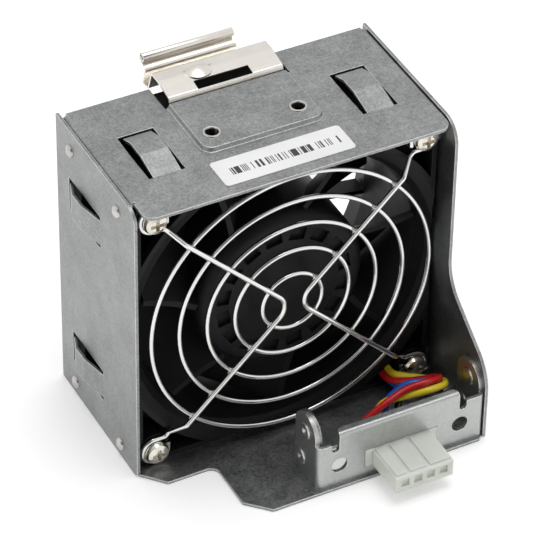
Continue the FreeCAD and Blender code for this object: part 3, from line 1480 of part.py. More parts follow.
def make_lead():
    """Four wires from the board, folded forwards outside the duct, then twisted to the plug."""
    turn = math.radians(size("lead_angle"))
    outward = Vector(math.cos(turn), 0, -math.sin(turn))
    beside = Vector(math.sin(turn), 0, math.cos(turn))
    axis = Vector(0, 0, size(FAN_AXIS))
    step, wire = size("lead_spacing") / 2, size("lead_wire")
    channel = size("(channel_front + fan_depth) / 2 - lead_clearance * 2")
    board = size("board_face + board_thickness")
    leaving = axis + outward * size("lead_radius")
    free = [leaving + Vector(0, -size("lead_straight"), 0)]
    free += [leaving + Vector(*step_away) for step_away in LEAD_ROUTE]
    plug_height = size("plug_bottom + plug_opening_height / 2")
    plug_back, seat = -size("plug_tail - lead_straight"), -size("plug_tail + contact_crimp")
    for number, (colour, ((radial, sideways), passing)) in enumerate(LEAD_WIRES.items()):
        label = "wire_" + colour
        place = size("plug_centre") + (number - 1.5) * size("contact_pitch")
        end = size("lead_end") + (0 if radial > 0 else 3 * step)
        level = channel + radial * step
        side = beside * (sideways * step)
        line = [(axis + outward * end + side + Vector(0, board, 0), 0),
                (axis + outward * end + side + Vector(0, level, 0), wire * 1.5),
                (axis + outward * (size("lead_radius") + radial * step) + side + Vector(0, level, 0),
                 wire * 1.6 + (1 + radial) * step)]
        across, up = Vector(outward), Vector(beside)
        heading = Vector(0, -1, 0)
        for index, point in enumerate(free):
            following = free[index + 1] if index + 1 < len(free) else point + heading
            ahead = (following - point).normalize()
            middle = (heading + ahead).normalize()
            spin = Rotation(Vector(0, -1, 0) if index == 0 else previous, middle)
            across, up = spin.multVec(across), spin.multVec(up)
            previous, heading = middle, ahead
            twist = math.radians(size("lead_twist")) * index
            reach = step * (1 if index == 0 else size("lead_spread"))
            offset = (across * (radial * math.cos(twist) - sideways * math.sin(twist))
                      + up * (radial * math.sin(twist) + sideways * math.cos(twist))) * reach
            line.append((point + offset, None))
        line.append((Vector(*passing), None))
        line.append((Vector(place, plug_back, plug_height), None))
        line.append((Vector(place, seat, plug_height), 0))
        points = [point for point, _ in line]
        radii = [radius for _, radius in line]
        for index in range(1, len(points) - 1):
            if radii[index] is None:
                back, ahead = points[index - 1] - points[index], points[index + 1] - points[index]
                turned_by = math.pi - back.getAngle(ahead)
                run = 0.45 * min(back.Length, ahead.Length)
                radii[index] = min(run / math.tan(turned_by / 2), size("lead_largest_bend"))
        path = bent_wire(points, radii[1:-1])
        made = doc.addObject("Part::Feature", label)
        made.Shape = swept(path, wire)
        expected = math.pi * wire**2 * path.Length
        print(label, "radii", [round(radius, 1) for radius in radii[1:-1]],
              "volume ratio", round(made.Shape.Volume / expected, 4))
        keep(made, label)


def make_module():
    make_top_plate()
    make_bottom_plate()
    make_left_side_plate()
    make_right_side_plate()
    make_side_plate_rivets()
    make_latch_foot()
    make_latch_arm()
    make_latch_eyelets()
    make_label()
    make_connector_bracket()
    make_bracket_rivets()
    make_connector_housing()
    make_connector_contacts()
    make_fan_frame()
    make_impeller()
    make_rotor_parts()
    make_bearing("front_bearing", "front_bearing_face")
    make_bearing("rear_bearing", "rear_bearing_face")
    make_bearing_tube()
    make_preload_spring()
    make_stator_core()
    make_insulator("front_insulator", "core_front - insulator", -1, False)
    make_insulator("rear_insulator", "core_rear", 1, True)
    make_coil_windings()
    make_circuit_board()
    make_board_parts()
    make_guard_rings()
    make_guard_rib("guard_rib_left", -1)
    make_guard_rib("guard_rib_right", 1)
    make_guard_screws()
    make_lead()


def write_parts():
    doc.recompute()
    for thing in doc.Objects:
        if "Invalid" in thing.State or "Error" in thing.State:
            raise ValueError(f"{thing.Name} ({thing.Label}) failed: {thing.State}")
    for thing in NODES:
        if thing.Shape.isNull() or not thing.Shape.isValid():
            raise ValueError(f"{thing.Label} has no valid shape")
    os.makedirs("parts", exist_ok=True)
    for thing in NODES:
        thing.Shape.exportStep(f"parts/{thing.Label}.step")


make_module()
write_parts()
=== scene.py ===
import math

import bpy
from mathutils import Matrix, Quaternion, Vector


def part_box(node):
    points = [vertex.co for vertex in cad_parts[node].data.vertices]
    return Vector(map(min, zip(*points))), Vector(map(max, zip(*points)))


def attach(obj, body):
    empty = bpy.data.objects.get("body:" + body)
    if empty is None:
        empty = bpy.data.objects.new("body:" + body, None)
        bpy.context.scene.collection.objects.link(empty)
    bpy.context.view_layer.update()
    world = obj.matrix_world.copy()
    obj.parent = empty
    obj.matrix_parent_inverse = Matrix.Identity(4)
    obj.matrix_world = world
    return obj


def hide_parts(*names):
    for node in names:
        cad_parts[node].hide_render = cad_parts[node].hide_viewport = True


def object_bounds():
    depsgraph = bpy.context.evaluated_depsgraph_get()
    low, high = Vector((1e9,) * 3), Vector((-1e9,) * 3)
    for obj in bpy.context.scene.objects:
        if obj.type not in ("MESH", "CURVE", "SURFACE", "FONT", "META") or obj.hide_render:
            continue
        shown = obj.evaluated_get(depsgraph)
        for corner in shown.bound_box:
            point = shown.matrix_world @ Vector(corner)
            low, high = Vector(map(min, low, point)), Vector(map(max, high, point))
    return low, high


# Lengths in the lists below are in millimetres, and MM turns them into Blender's metres.
MM = 0.001

# the wire guard: rings, ribs that cross them at 45 degrees, and a weld at each crossing
RING_COUNT = 5
INNER_RING = 8.0
RIB_APEX = 0.8
RIB_ANGLE = 45
WELD_RADIUS = 0.95
WELD_STRETCH = (1.5, 0.62, 0.8)

# the plug: a nose with mouths in front, ridges along its top, and a collar in the bracket
NOSE_HALF_WIDTH = 7.9
NOSE_HALF_HEIGHT = 2.55
NOSE_ROUNDING = 0.35
MOUTH_COUNT = 4
MOUTH_PITCH = 3.5
MOUTH_WIDTH = 2.3
MOUTH_DEPTH = 0.8
WIRE_SOCKET_DEPTH = 5.0
CUTTER_OVERRUN = 1.0
RIDGE_RISE = 0.35
RIDGE_SET_BACK = 0.9
RIDGE_SIDES = ((-0.95, -0.58), (-0.46, 0.12), (0.24, 0.95))  # as shares of the nose's half width
COLLAR_HALF_WIDTH = 9.9
COLLAR_LIP = 0.25
COLLAR_REACH = 2.1
COLLAR_TRIM = 0.05
COLLAR_ROUNDING = 0.3

# the rolled edge along the top of the latch's thumb tab
ROLL_RADIUS = 1.1
ROLL_WALL = 0.45
ROLL_ROUNDING = 0.1
ROLL_INSET = 0.4
ROLL_SHORTER_THAN_ARM = 6.3

# floor and studio, in metres and as shares of white
FLOOR_WIDTH = 6.0
FLOOR_DROP = 0.00002
FLOOR_SHADE = 0.86
FLOOR_LIFT = 0.30
OVERHEAD_LEVEL = 0.88
DARK_SIDE_LEVEL = 0.03
DARK_SIDE_CORE = math.radians(16)
DARK_SIDE_EDGE = math.radians(36)

# the key lamp, from the middle of the module
KEY_AWAY = (0.25, 0.1, 2.7)
KEY_WIDTH = 1.4
KEY_WATTS = 22

# the camera's stand and heading
CAMERA_PLACE = (-0.315596, -0.585395, 0.594713)
CAMERA_AZIMUTH = math.radians(-27.985)
CAMERA_ELEVATION = math.radians(39.554)
CAMERA_ROLL = math.radians(1.027)
LENS = 232.5
FILM_WIDTH = 36
NEAR_AND_FAR = (0.01, 20)

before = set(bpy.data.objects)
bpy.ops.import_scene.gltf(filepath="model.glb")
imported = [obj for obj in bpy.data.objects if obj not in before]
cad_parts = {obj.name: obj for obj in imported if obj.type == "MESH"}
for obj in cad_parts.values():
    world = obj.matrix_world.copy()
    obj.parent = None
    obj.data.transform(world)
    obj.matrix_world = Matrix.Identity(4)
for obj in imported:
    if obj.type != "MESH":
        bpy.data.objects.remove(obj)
cad_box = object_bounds()


# ---------------------------------------------------------------- node helpers

def add(tree, kind, sockets=None, **settings):
    """Add a node. Each socket named or numbered is joined to another node's output, or given a value."""
    node = tree.nodes.new(kind)
    for name, value in settings.items():
        setattr(node, name, value)
    for name, value in (sockets or {}).items():
        if isinstance(value, bpy.types.NodeSocket):
            tree.links.new(value, node.inputs[name])
        else:
            node.inputs[name].default_value = value
    return node


def maths(tree, operation, first, second=0.0, clamp=False):
    node = add(tree, "ShaderNodeMath", {0: first, 1: second}, operation=operation, use_clamp=clamp)
    return node.outputs[0]


def vector_maths(tree, operation, first, second):
    return add(tree, "ShaderNodeVectorMath", {0: first, 1: second}, operation=operation)


def spread(tree, value, low, high, to_low=0.0, to_high=1.0):
    """Carry a value from one range to another, without passing its ends."""
    sockets = {"Value": value, "From Min": low, "From Max": high, "To Min": to_low, "To Max": to_high}
    return add(tree, "ShaderNodeMapRange", sockets).outputs["Result"]


def blend_colours(tree, share, first, second):
    node = add(tree, "ShaderNodeMix", {0: share}, data_type="RGBA")
    for socket, colour in ((6, first), (7, second)):
        if isinstance(colour, bpy.types.NodeSocket):
            tree.links.new(colour, node.inputs[socket])
        else:
            node.inputs[socket].default_value = (*colour, 1)
    return node.outputs[2]


def grey_noise(tree, where, scale, detail=2.0, roughness=0.5):
    sockets = {"Vector": where, "Scale": scale, "Detail": detail, "Roughness": roughness}
    return add(tree, "ShaderNodeTexNoise", sockets).outputs["Fac"]


def on_piece(tree):
    """Places on the piece itself, in metres."""
    return add(tree, "ShaderNodeTexCoord").outputs["Object"]


def new_group(name, inputs, outputs):
    """A node group whose inputs are plain numbers or vectors, with the two ends of its tree."""
    tree = bpy.data.node_groups.new(name, "ShaderNodeTree")
    for label, value in inputs.items():
        kind = "NodeSocketVector" if isinstance(value, tuple) else "NodeSocketFloat"
        socket = tree.interface.new_socket(label, in_out="INPUT", socket_type=kind)
        socket.default_value = value
    for label, kind in outputs.items():
        tree.interface.new_socket(label, in_out="OUTPUT", socket_type="NodeSocket" + kind)
    return tree, tree.nodes.new("NodeGroupInput").outputs, tree.nodes.new("NodeGroupOutput").inputs


def place(tree, group, **sockets):
    """Put a shared effect in a material's tree, with this material's own values."""
    node = tree.nodes.new("ShaderNodeGroup")
    node.node_tree = group
    for name, value in sockets.items():
        node.inputs[name.replace("_", " ")].default_value = value
    return node.outputs


# ---------------------------------------------------------------- shared effects

def make_edge_shine():
    """Rounds the look of sharp edges, and gives a patchy mask of them along which a highlight is painted.
    """
    tree, given, result = new_group("edge wear", {"Radius": 0.0002, "Patchiness": 0.5},
                                    {"Mask": "Float", "Normal": "Vector"})
    rounded = add(tree, "ShaderNodeBevel", {"Radius": given["Radius"]}, samples=6).outputs[0]
    true_normal = add(tree, "ShaderNodeNewGeometry").outputs["Normal"]
    likeness = vector_maths(tree, "DOT_PRODUCT", rounded, true_normal).outputs["Value"]
    flat, fully_turned = 0.999, 0.86
    # Painted highlight: the mask below marks turned edges, broken up in patches, where a lighter colour
    # is painted.
    turn = spread(tree, likeness, flat, fully_turned)
    patches = spread(tree, grey_noise(tree, on_piece(tree), 420, 3), 0.35, 0.65)
    kept = maths(tree, "MULTIPLY", patches, given["Patchiness"])
    unbroken = maths(tree, "SUBTRACT", 1.0, kept)
    tree.links.new(maths(tree, "MULTIPLY", turn, unbroken), result["Mask"])
    tree.links.new(rounded, result["Normal"])
    return tree


def make_zinc_speckle():
    """The fine crystal speckle and slow clouds of a zinc coat on sheet steel."""
    tree, given, result = new_group("zinc speckle", {"Grain": 2200.0, "Clouds": 150.0, "Depth": 0.5},
                                    {"Shade": "Float", "Roughness": "Float", "Height": "Float"})
    where = on_piece(tree)
    grain = grey_noise(tree, where, given["Grain"], 2, 0.7)
    clouds = grey_noise(tree, where, given["Clouds"], 4, 0.55)
    crystals = add(tree, "ShaderNodeTexVoronoi", {"Vector": where, "Scale": 1500})
    tint = add(tree, "ShaderNodeSeparateColor", {"Color": crystals.outputs["Color"]}).outputs[0]
    grain_share, tint_share, cloud_share = 0.44, 0.32, 0.24
    mixed = maths(tree, "ADD", maths(tree, "MULTIPLY", spread(tree, grain, 0.36, 0.64), grain_share),
                  maths(tree, "MULTIPLY", tint, tint_share))
    mixed = maths(tree, "ADD", mixed,
                  maths(tree, "MULTIPLY", spread(tree, clouds, 0.36, 0.64), cloud_share))
    off_middle = maths(tree, "SUBTRACT", mixed, 0.5)
    shade = maths(tree, "ADD", maths(tree, "MULTIPLY", off_middle, given["Depth"]), 0.5, clamp=True)
    tree.links.new(shade, result["Shade"])
    tree.links.new(mixed, result["Roughness"])
    tree.links.new(grain, result["Height"])
    return tree


def make_rolling_lines():
    """Long faint lines left by rolling or drawing, along the direction where Stretch is small."""
    tree, given, result = new_group("rolling lines", {"Stretch": (20.0, 900.0, 900.0)},
                                    {"Lines": "Float"})
    long_way = vector_maths(tree, "MULTIPLY", on_piece(tree), given["Stretch"]).outputs[0]
    tree.links.new(spread(tree, grey_noise(tree, long_way, 1.0, 4, 0.6), 0.3, 0.7), result["Lines"])
    return tree


def make_handling_marks():
    """Slow patches from hands and dust, and a few thin rubs."""
    tree, given, result = new_group("handling marks", {"Patches": 60.0, "Rubs": 0.5},
                                    {"Haze": "Float", "Rub": "Float"})
    where = on_piece(tree)
    haze = spread(tree, grey_noise(tree, where, given["Patches"], 5, 0.6), 0.3, 0.7)
    along_depth = vector_maths(tree, "MULTIPLY", where, (300.0, 40.0, 300.0)).outputs[0]
    thin = spread(tree, grey_noise(tree, along_depth, 1.0), 0.66, 0.74)
    tree.links.new(haze, result["Haze"])
    tree.links.new(maths(tree, "MULTIPLY", thin, given["Rubs"]), result["Rub"])
    return tree


def make_mould_grain():
    """The fine matt grain and slow flow shading of moulded plastic."""
    tree, given, result = new_group("mould grain", {"Grain": 3000.0, "Flow": 90.0},
                                    {"Grain": "Float", "Flow": "Float"})
    where = on_piece(tree)
    tree.links.new(grey_noise(tree, where, given["Grain"], 3, 0.6), result["Grain"])
    tree.links.new(spread(tree, grey_noise(tree, where, given["Flow"], 4, 0.6), 0.3, 0.7), result["Flow"])
    return tree


def make_plain_bars():
    """A strip of upright bars of uneven width, as on any stock label, between two corners."""
    inputs = {"Low corner": (0.0, 0.0, 0.0), "Size": (0.03, 0.003, 1.0), "Bars": 130.0}
    tree, given, result = new_group("plain bars", inputs, {"Mask": "Float"})
    moved = vector_maths(tree, "SUBTRACT", on_piece(tree), given["Low corner"]).outputs[0]
    share = vector_maths(tree, "DIVIDE", moved, given["Size"]).outputs[0]
    across, along, _ = add(tree, "ShaderNodeSeparateXYZ", {"Vector": share}).outputs
    column = maths(tree, "FLOOR", maths(tree, "MULTIPLY", across, given["Bars"]))
    chance = add(tree, "ShaderNodeTexWhiteNoise", {"W": column}, noise_dimensions="1D").outputs["Value"]
    mask = maths(tree, "GREATER_THAN", chance, 0.5)
    for place_in_strip in (across, along):
        off_middle = maths(tree, "ABSOLUTE", maths(tree, "SUBTRACT", place_in_strip, 0.5))
        mask = maths(tree, "MULTIPLY", mask, maths(tree, "LESS_THAN", off_middle, 0.5))
    tree.links.new(mask, result["Mask"])
    return tree


EDGE_SHINE = make_edge_shine()
ZINC_SPECKLE = make_zinc_speckle()
ROLLING_LINES = make_rolling_lines()
HANDLING_MARKS = make_handling_marks()
MOULD_GRAIN = make_mould_grain()
PLAIN_BARS = make_plain_bars()


# ---------------------------------------------------------------- finishes

def new_finish(name, **principled):
    """A material with its Principled shader, whose plain values are set on its own sockets."""
    made = bpy.data.materials.new(name)
    made.use_nodes = True
    tree = made.node_tree
    shader = tree.nodes["Principled BSDF"]
    for label, value in principled.items():
        shader.inputs[label.replace("_", " ")].default_value = value
    return made, tree, shader


def bump(tree, shader, height, distance, base):
    """Raise the surface by a height, over a normal that is already there."""
    sockets = {"Height": height, "Distance": distance, "Strength": 1.0, "Normal": base}
    tree.links.new(add(tree, "ShaderNodeBump", sockets).outputs[0], shader.inputs["Normal"])


def sheet_metal(name, dark, light, edge, rough, depth):
    """Zinc coated sheet: speckle over clouds, faint rolling lines, haze, and a painted highlight along
    its edges.
    """
    made, tree, shader = new_finish(name, Metallic=1.0)
    speckle = place(tree, ZINC_SPECKLE, Depth=depth)
    lines = place(tree, ROLLING_LINES)["Lines"]
    marks = place(tree, HANDLING_MARKS)
    shine = place(tree, EDGE_SHINE, Radius=0.0003, Patchiness=0.35)
    line_shade, haze_shade, haze_rough, polish, line_height = 0.05, 0.10, 0.05, 0.15, 0.15
    toned = maths(tree, "ADD", speckle["Shade"], maths(tree, "MULTIPLY", lines, line_shade), clamp=True)
    toned = maths(tree, "SUBTRACT", toned, maths(tree, "MULTIPLY", marks["Haze"], haze_shade), clamp=True)
    base = blend_colours(tree, toned, dark, light)
    # Painted highlight: along the edges the base colour is blended towards the light edge colour.
    tree.links.new(blend_colours(tree, shine["Mask"], base, edge), shader.inputs["Base Color"])
    speckled = spread(tree, speckle["Roughness"], 0.2, 0.8, rough - 0.06, rough + 0.06)
    hazy = maths(tree, "ADD", speckled, maths(tree, "MULTIPLY", marks["Haze"], haze_rough))
    tree.links.new(maths(tree, "SUBTRACT", hazy, maths(tree, "MULTIPLY", shine["Mask"], polish)),
                   shader.inputs["Roughness"])
    height = maths(tree, "ADD", speckle["Height"], maths(tree, "MULTIPLY", lines, line_height))
    bump(tree, shader, height, 0.00002, shine["Normal"])
    return made


def bright_metal(name, colour, tarnish, rough, rubs=0.4):
    """Plated or polished metal: drawn lines, slow tarnish, a few rubs and softened edges."""
    made, tree, shader = new_finish(name, Metallic=1.0)
    lines = place(tree, ROLLING_LINES, Stretch=(30.0, 1200.0, 1200.0))["Lines"]
    marks = place(tree, HANDLING_MARKS, Patches=110.0, Rubs=rubs)
    shine = place(tree, EDGE_SHINE, Radius=0.00015, Patchiness=0.3)
    haze_dulls, lines_dull, rub_rough = 0.55, 0.2, 0.2
    dulled = maths(tree, "MULTIPLY", marks["Haze"], haze_dulls)
    dulled = maths(tree, "ADD", dulled, maths(tree, "MULTIPLY", lines, lines_dull), clamp=True)
    tree.links.new(blend_colours(tree, dulled, colour, tarnish), shader.inputs["Base Color"])
    hazy = spread(tree, marks["Haze"], 0.0, 1.0, rough, rough + 0.08)
    rubbed = maths(tree, "ADD", hazy, maths(tree, "MULTIPLY", marks["Rub"], rub_rough))
    tree.links.new(rubbed, shader.inputs["Roughness"])
    bump(tree, shader, lines, 0.000006, shine["Normal"])
    return made


def moulded(name, dark, light, rough, depth=0.00002, edge=None, **principled):
    """Moulded plastic: matt grain, flow shading, and a painted highlight along its edges."""
    made, tree, shader = new_finish(name, **principled)
    mould = place(tree, MOULD_GRAIN)
    shine = place(tree, EDGE_SHINE, Radius=0.00025, Patchiness=0.5)
    base = blend_colours(tree, mould["Flow"], dark, light)
    # Painted highlight: along the edges the colour is blended towards the edge colour, or towards the
    # light colour when none is given.
    tree.links.new(blend_colours(tree, shine["Mask"], base, edge or light), shader.inputs["Base Color"])
    tree.links.new(spread(tree, mould["Flow"], 0.0, 1.0, rough - 0.06, rough + 0.06),
                   shader.inputs["Roughness"])
    bump(tree, shader, mould["Grain"], depth, shine["Normal"])
    return made


def label_paper():
    """White coated paper with one strip of plain bars across its middle."""
    made = moulded("label paper", (0.78, 0.78, 0.78), (0.85, 0.85, 0.85), 0.45, depth=0.000004)
    tree = made.node_tree
    low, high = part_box("label")
    reach = high - low
    left_margin, front_margin, strip_length, strip_width = 0.10, 0.34, 0.84, 0.28
    corner = (low.x + left_margin * reach.x, low.y + front_margin * reach.y, low.z)
    size = (strip_length * reach.x, strip_width * reach.y, 1.0)
    bars = place(tree, PLAIN_BARS, Low_corner=corner, Size=size)["Mask"]
    surface = tree.nodes["Principled BSDF"].inputs["Base Color"]
    paper = surface.links[0].from_socket
    tree.links.new(blend_colours(tree, bars, paper, (0.03, 0.03, 0.03)), surface)
    return made


# Each edge colour below is a painted highlight along that finish's edges.
FINISHES = {
    "galvanised_sheet": sheet_metal("galvanised sheet", (0.17, 0.175, 0.175), (0.45, 0.46, 0.46),
                                    edge=(0.92, 0.91, 0.88), rough=0.40, depth=0.8),
    "zinc_plate": sheet_metal("bright zinc plate", (0.34, 0.35, 0.345), (0.62, 0.64, 0.62),
                              edge=(0.92, 0.91, 0.89), rough=0.36, depth=0.55),
    "spring_steel": bright_metal("rolled spring steel", (0.84, 0.81, 0.76), (0.66, 0.62, 0.56), 0.20),
    "chrome_wire": bright_metal("bright drawn wire", (0.82, 0.82, 0.81), (0.70, 0.70, 0.69), 0.07,
                                rubs=0.1),
    "nickel_screw": bright_metal("nickel plate", (0.86, 0.82, 0.74), (0.66, 0.61, 0.52), 0.20),
    "rivet_steel": bright_metal("rivet steel", (0.66, 0.65, 0.62), (0.42, 0.40, 0.38), 0.28),
    "motor_steel": bright_metal("motor steel", (0.60, 0.60, 0.60), (0.40, 0.40, 0.40), 0.35),
    "brass_tube": bright_metal("turned brass", (0.80, 0.60, 0.28), (0.60, 0.42, 0.18), 0.28),
    "copper_wire": bright_metal("enamelled copper", (0.72, 0.32, 0.14), (0.50, 0.20, 0.08), 0.30),
    "contact_tin": bright_metal("tinned contact", (0.78, 0.78, 0.76), (0.58, 0.58, 0.56), 0.25),
    "black_moulding": moulded("black glass filled plastic", (0.007, 0.007, 0.0075),
                              (0.014, 0.014, 0.0145), 0.46, edge=(0.03, 0.03, 0.03),
                              Specular_IOR_Level=0.18),
    "insulator_plastic": moulded("insulator plastic", (0.60, 0.58, 0.52), (0.70, 0.68, 0.62), 0.45),
    "ferrite": moulded("ferrite", (0.03, 0.03, 0.03), (0.05, 0.05, 0.05), 0.6),
    "circuit_board": moulded("circuit board", (0.01, 0.10, 0.04), (0.02, 0.14, 0.06), 0.35),
    "board_chips": moulded("chip plastic", (0.015, 0.015, 0.015), (0.03, 0.03, 0.03), 0.5),
    "white_nylon": moulded("natural nylon", (0.68, 0.70, 0.63), (0.77, 0.79, 0.72), 0.36,
                           depth=0.000002, edge=(0.82, 0.84, 0.78), Subsurface_Weight=0.5,
                           Subsurface_Scale=0.0015, Subsurface_Radius=(1.0, 1.0, 0.9)),
    "white_label": label_paper(),
}

INSULATION = {
    "black": ((0.006, 0.006, 0.006), (0.012, 0.012, 0.012)),
    "red": ((0.52, 0.010, 0.012), (0.66, 0.018, 0.020)),
    "yellow": ((0.82, 0.62, 0.02), (0.92, 0.72, 0.04)),
    "blue": ((0.010, 0.10, 0.46), (0.018, 0.15, 0.60)),
}
for colour, (dark, light) in INSULATION.items():
    FINISHES["wire_" + colour] = moulded(colour + " insulation", dark, light, 0.25, depth=0.000003)

for cad_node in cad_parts.values():
    for number, plain in enumerate(cad_node.data.materials):
        cad_node.material_slots[number].material = FINISHES[plain.name]


# ---------------------------------------------------------------- modelling helpers

def only(*pieces):
    """Select these pieces and nothing else, with the first of them active."""
    bpy.ops.object.select_all(action="DESELECT")
    for piece in pieces:
        piece.select_set(True)
    if pieces:
        bpy.context.view_layer.objects.active = pieces[0]


def block(name, low, high):
    """A box between two corners, left selected."""
    only()
    bpy.ops.mesh.primitive_cube_add(size=1, location=(low + high) / 2)
    made = bpy.context.active_object
    made.name = name
    made.scale = high - low
    bpy.ops.object.transform_apply()
    return made


def finish_edges(piece, width, segments=3):
    """Round a piece's edges and smooth its faces."""
    only(piece)
    bevel = piece.modifiers.new("rounding", "BEVEL")
    bevel.width = width
    bevel.segments = segments
    bevel.limit_method = "ANGLE"
    bpy.ops.object.modifier_apply(modifier=bevel.name)
    bpy.ops.object.shade_smooth_by_angle(angle=math.radians(35))


def join(pieces, name):
    only(*pieces)
    bpy.ops.object.join()
    pieces[0].name = name
    return pieces[0]


def carve(piece, cutters):
    """Take cutters out of a piece and delete them."""
    for cutter in cutters:
        only(piece)
        taken = piece.modifiers.new("taken", "BOOLEAN")
        taken.operation = "DIFFERENCE"
        taken.solver = "EXACT"
        taken.object = cutter
        bpy.ops.object.modifier_apply(modifier=taken.name)
        bpy.data.objects.remove(cutter)


def give(piece, body, slot):
    """Give a finished piece its body and the finish of one of the CAD's materials."""
    piece.data.materials.clear()
    piece.data.materials.append(FINISHES[slot])
    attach(piece, body)


# ---------------------------------------------------------------- welds of the wire guard

def ring_crossings():
    """Where each ring of the guard passes behind a straight leg of a rib, with the leg's slope."""
    rings_low, rings_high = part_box("guard_rings")
    wire = (rings_high.y - rings_low.y) / 2
    hub = (rings_low + rings_high) / 2
    outer = (rings_high.x - rings_low.x) / 2 - wire
    inner = INNER_RING * MM
    apex = RIB_APEX * MM
    for number in range(RING_COUNT):
        ring = inner + (outer - inner) * number / (RING_COUNT - 1)
        leg = (math.sqrt(2 * ring ** 2 - apex ** 2) - apex) / 2
        for side in (-1, 1):
            for upward in (-1, 1):
                across = side * (leg + apex)
                yield Vector((hub.x + across, rings_low.y, hub.z + upward * leg)), side * upward


def make_guard_welds():
    """A small bead of metal at each place where a rib is welded across a ring."""
    beads = []
    for spot, slope in ring_crossings():
        only()
        bpy.ops.mesh.primitive_ico_sphere_add(subdivisions=3, radius=WELD_RADIUS * MM)
        bead = bpy.context.active_object
        bead.scale = WELD_STRETCH
        bead.rotation_euler = (0, -math.radians(RIB_ANGLE) * slope, 0)
        bead.location = spot
        bpy.ops.object.transform_apply()
        bpy.ops.object.shade_smooth()
        beads.append(bead)
    give(join(beads, "guard_welds"), "module", "chrome_wire")


# ---------------------------------------------------------------- plug and thumb tab

def make_plug_nose(axis, front, rear):
    """The nose that is pushed home, with a mouth before each contact and a socket for each wire."""
    side, up = NOSE_HALF_WIDTH * MM, NOSE_HALF_HEIGHT * MM
    nose = block("nose", Vector((axis.x - side, front, axis.z - up)),
                 Vector((axis.x + side, rear, axis.z + up - RIDGE_RISE * MM)))
    overrun = CUTTER_OVERRUN * MM
    mouth = (front - overrun, front + MOUTH_DEPTH * MM)
    wire_socket = (rear - WIRE_SOCKET_DEPTH * MM, rear + overrun)
    half = MOUTH_WIDTH / 2 * MM
    cutters = []
    for number in range(MOUTH_COUNT):
        across = axis.x + (number - (MOUTH_COUNT - 1) / 2) * MOUTH_PITCH * MM
        for start, end in (mouth, wire_socket):
            cutters.append(block("cutter", Vector((across - half, start, axis.z - half)),
                                 Vector((across + half, end, axis.z + half))))
    carve(nose, cutters)
    finish_edges(nose, NOSE_ROUNDING * MM)
    return nose


def make_plug():
    """The nylon plug: a ridged nose, and the collar that seats it in the bracket."""
    low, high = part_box("connector_housing")
    bracket_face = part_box("connector_bracket")[0].y
    axis = (low + high) / 2
    parts = [make_plug_nose(axis, low.y, high.y)]
    for left, right in RIDGE_SIDES:
        front_corner = Vector((axis.x + left * NOSE_HALF_WIDTH * MM, low.y + RIDGE_SET_BACK * MM, axis.z))
        rear_corner = Vector((axis.x + right * NOSE_HALF_WIDTH * MM, bracket_face,
                              axis.z + NOSE_HALF_HEIGHT * MM))
        ridge = block("ridge", front_corner, rear_corner)
        finish_edges(ridge, RIDGE_RISE * MM)
        parts.append(ridge)
    side, trim = COLLAR_HALF_WIDTH * MM, COLLAR_TRIM * MM
    collar = block("collar", Vector((axis.x - side, bracket_face - COLLAR_LIP * MM, low.z + trim)),
                   Vector((axis.x + side, bracket_face + COLLAR_REACH * MM, high.z - trim)))
    finish_edges(collar, COLLAR_ROUNDING * MM)
    plug = join(parts + [collar], "plug_shell")
    give(plug, "module", "white_nylon")
    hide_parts("connector_housing")


def make_tab_roll():
    """The rolled edge that a thumb presses, along the top of the latch's tab."""
    low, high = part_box("latch_arm")
    radius = ROLL_RADIUS * MM
    length = (high.x - low.x) - ROLL_SHORTER_THAN_ARM * MM
    middle = Vector((low.x + length / 2, high.y - radius - ROLL_INSET * MM, high.z - radius))
    only()
    bpy.ops.mesh.primitive_cylinder_add(vertices=48, radius=radius, depth=length, location=middle,
                                        end_fill_type="NOTHING", rotation=(0, math.radians(90), 0))
    tab_roll = bpy.context.active_object
    tab_roll.name = "tab_roll"
    bpy.ops.object.transform_apply()
    wall = tab_roll.modifiers.new("wall", "SOLIDIFY")
    wall.thickness = ROLL_WALL * MM
    bpy.ops.object.modifier_apply(modifier=wall.name)
    finish_edges(tab_roll, ROLL_ROUNDING * MM, 2)
    give(tab_roll, "latch", "spring_steel")


make_guard_welds()
make_plug()
make_tab_roll()


# ---------------------------------------------------------------- floor, light and camera

def direct_view(tree):
    """1 where the eye, a mirror or glass sees the surface itself, and 0 for light that it scatters."""
    seen = add(tree, "ShaderNodeLightPath").outputs
    direct = maths(tree, "MAXIMUM", seen["Is Camera Ray"], seen["Is Glossy Ray"])
    return maths(tree, "MAXIMUM", direct, seen["Is Transmission Ray"])


def make_floor():
    """A wide pale floor, lifted to white where it is seen, which keeps the module's shadow."""
    only()
    bpy.ops.mesh.primitive_plane_add(size=FLOOR_WIDTH, location=(0, 0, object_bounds()[0].z - FLOOR_DROP))
    floor = bpy.context.active_object
    floor.name = "floor"
    bpy.ops.object.transform_apply(location=True)
    made, tree, shader = new_finish("pale floor", Roughness=0.9, Specular_IOR_Level=0.1,
                                    Base_Color=(FLOOR_SHADE, FLOOR_SHADE, FLOOR_SHADE, 1),
                                    Emission_Color=(1, 1, 1, 1))
    tree.links.new(maths(tree, "MULTIPLY", direct_view(tree), FLOOR_LIFT),
                   shader.inputs["Emission Strength"])
    floor.data.materials.append(made)


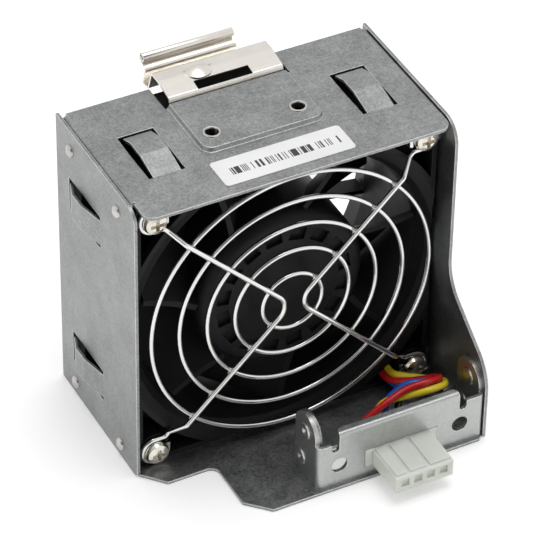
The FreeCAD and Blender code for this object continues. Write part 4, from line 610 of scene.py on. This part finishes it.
def make_studio(dark_side):
    """White all round below, a little dimmer overhead, and dark around the side it is seen from."""
    world = bpy.data.worlds.new("pale studio")
    world.use_nodes = True
    tree = world.node_tree
    heading = add(tree, "ShaderNodeTexCoord").outputs["Generated"]
    height = add(tree, "ShaderNodeSeparateXYZ", {"Vector": heading}).outputs["Z"]
    overhead = spread(tree, height, 0.0, 0.5, 1.0, OVERHEAD_LEVEL)
    nearness = vector_maths(tree, "DOT_PRODUCT", heading, dark_side).outputs["Value"]
    doorway = spread(tree, nearness, math.cos(DARK_SIDE_EDGE), math.cos(DARK_SIDE_CORE),
                     1.0, DARK_SIDE_LEVEL)
    background = tree.nodes["Background"]
    background.inputs["Color"].default_value = (1, 1, 1, 1)
    tree.links.new(maths(tree, "MULTIPLY", overhead, doorway), background.inputs["Strength"])
    bpy.context.scene.world = world


def make_key_lamp():
    """A soft square light high over the module, which it faces."""
    light = bpy.data.lights.new("key", "AREA")
    light.shape = "SQUARE"
    light.size = KEY_WIDTH
    light.energy = KEY_WATTS
    lamp = bpy.data.objects.new("key", light)
    bpy.context.scene.collection.objects.link(lamp)
    low, high = cad_box
    lamp.location = (low + high) / 2 + Vector(KEY_AWAY)
    lamp.rotation_mode = "QUATERNION"
    lamp.rotation_quaternion = (-Vector(KEY_AWAY)).to_track_quat("-Z", "Y")


def make_camera(back):
    """The camera, which looks the opposite way to back."""
    camera = bpy.data.cameras.new("camera")
    stand = bpy.data.objects.new("camera", camera)
    bpy.context.scene.collection.objects.link(stand)
    stand.location = CAMERA_PLACE
    stand.rotation_mode = "QUATERNION"
    stand.rotation_quaternion = (-back).to_track_quat("-Z", "Y") @ Quaternion((0, 0, 1), CAMERA_ROLL)
    camera.sensor_width = FILM_WIDTH
    camera.lens = LENS
    camera.clip_start, camera.clip_end = NEAR_AND_FAR
    bpy.context.scene.camera = stand


towards_camera = Vector((math.sin(CAMERA_AZIMUTH) * math.cos(CAMERA_ELEVATION),
                         -math.cos(CAMERA_AZIMUTH) * math.cos(CAMERA_ELEVATION),
                         math.sin(CAMERA_ELEVATION)))
make_floor()
make_studio(towards_camera)
make_key_lamp()
make_camera(towards_camera)
bpy.context.scene.view_settings.view_transform = "Standard"
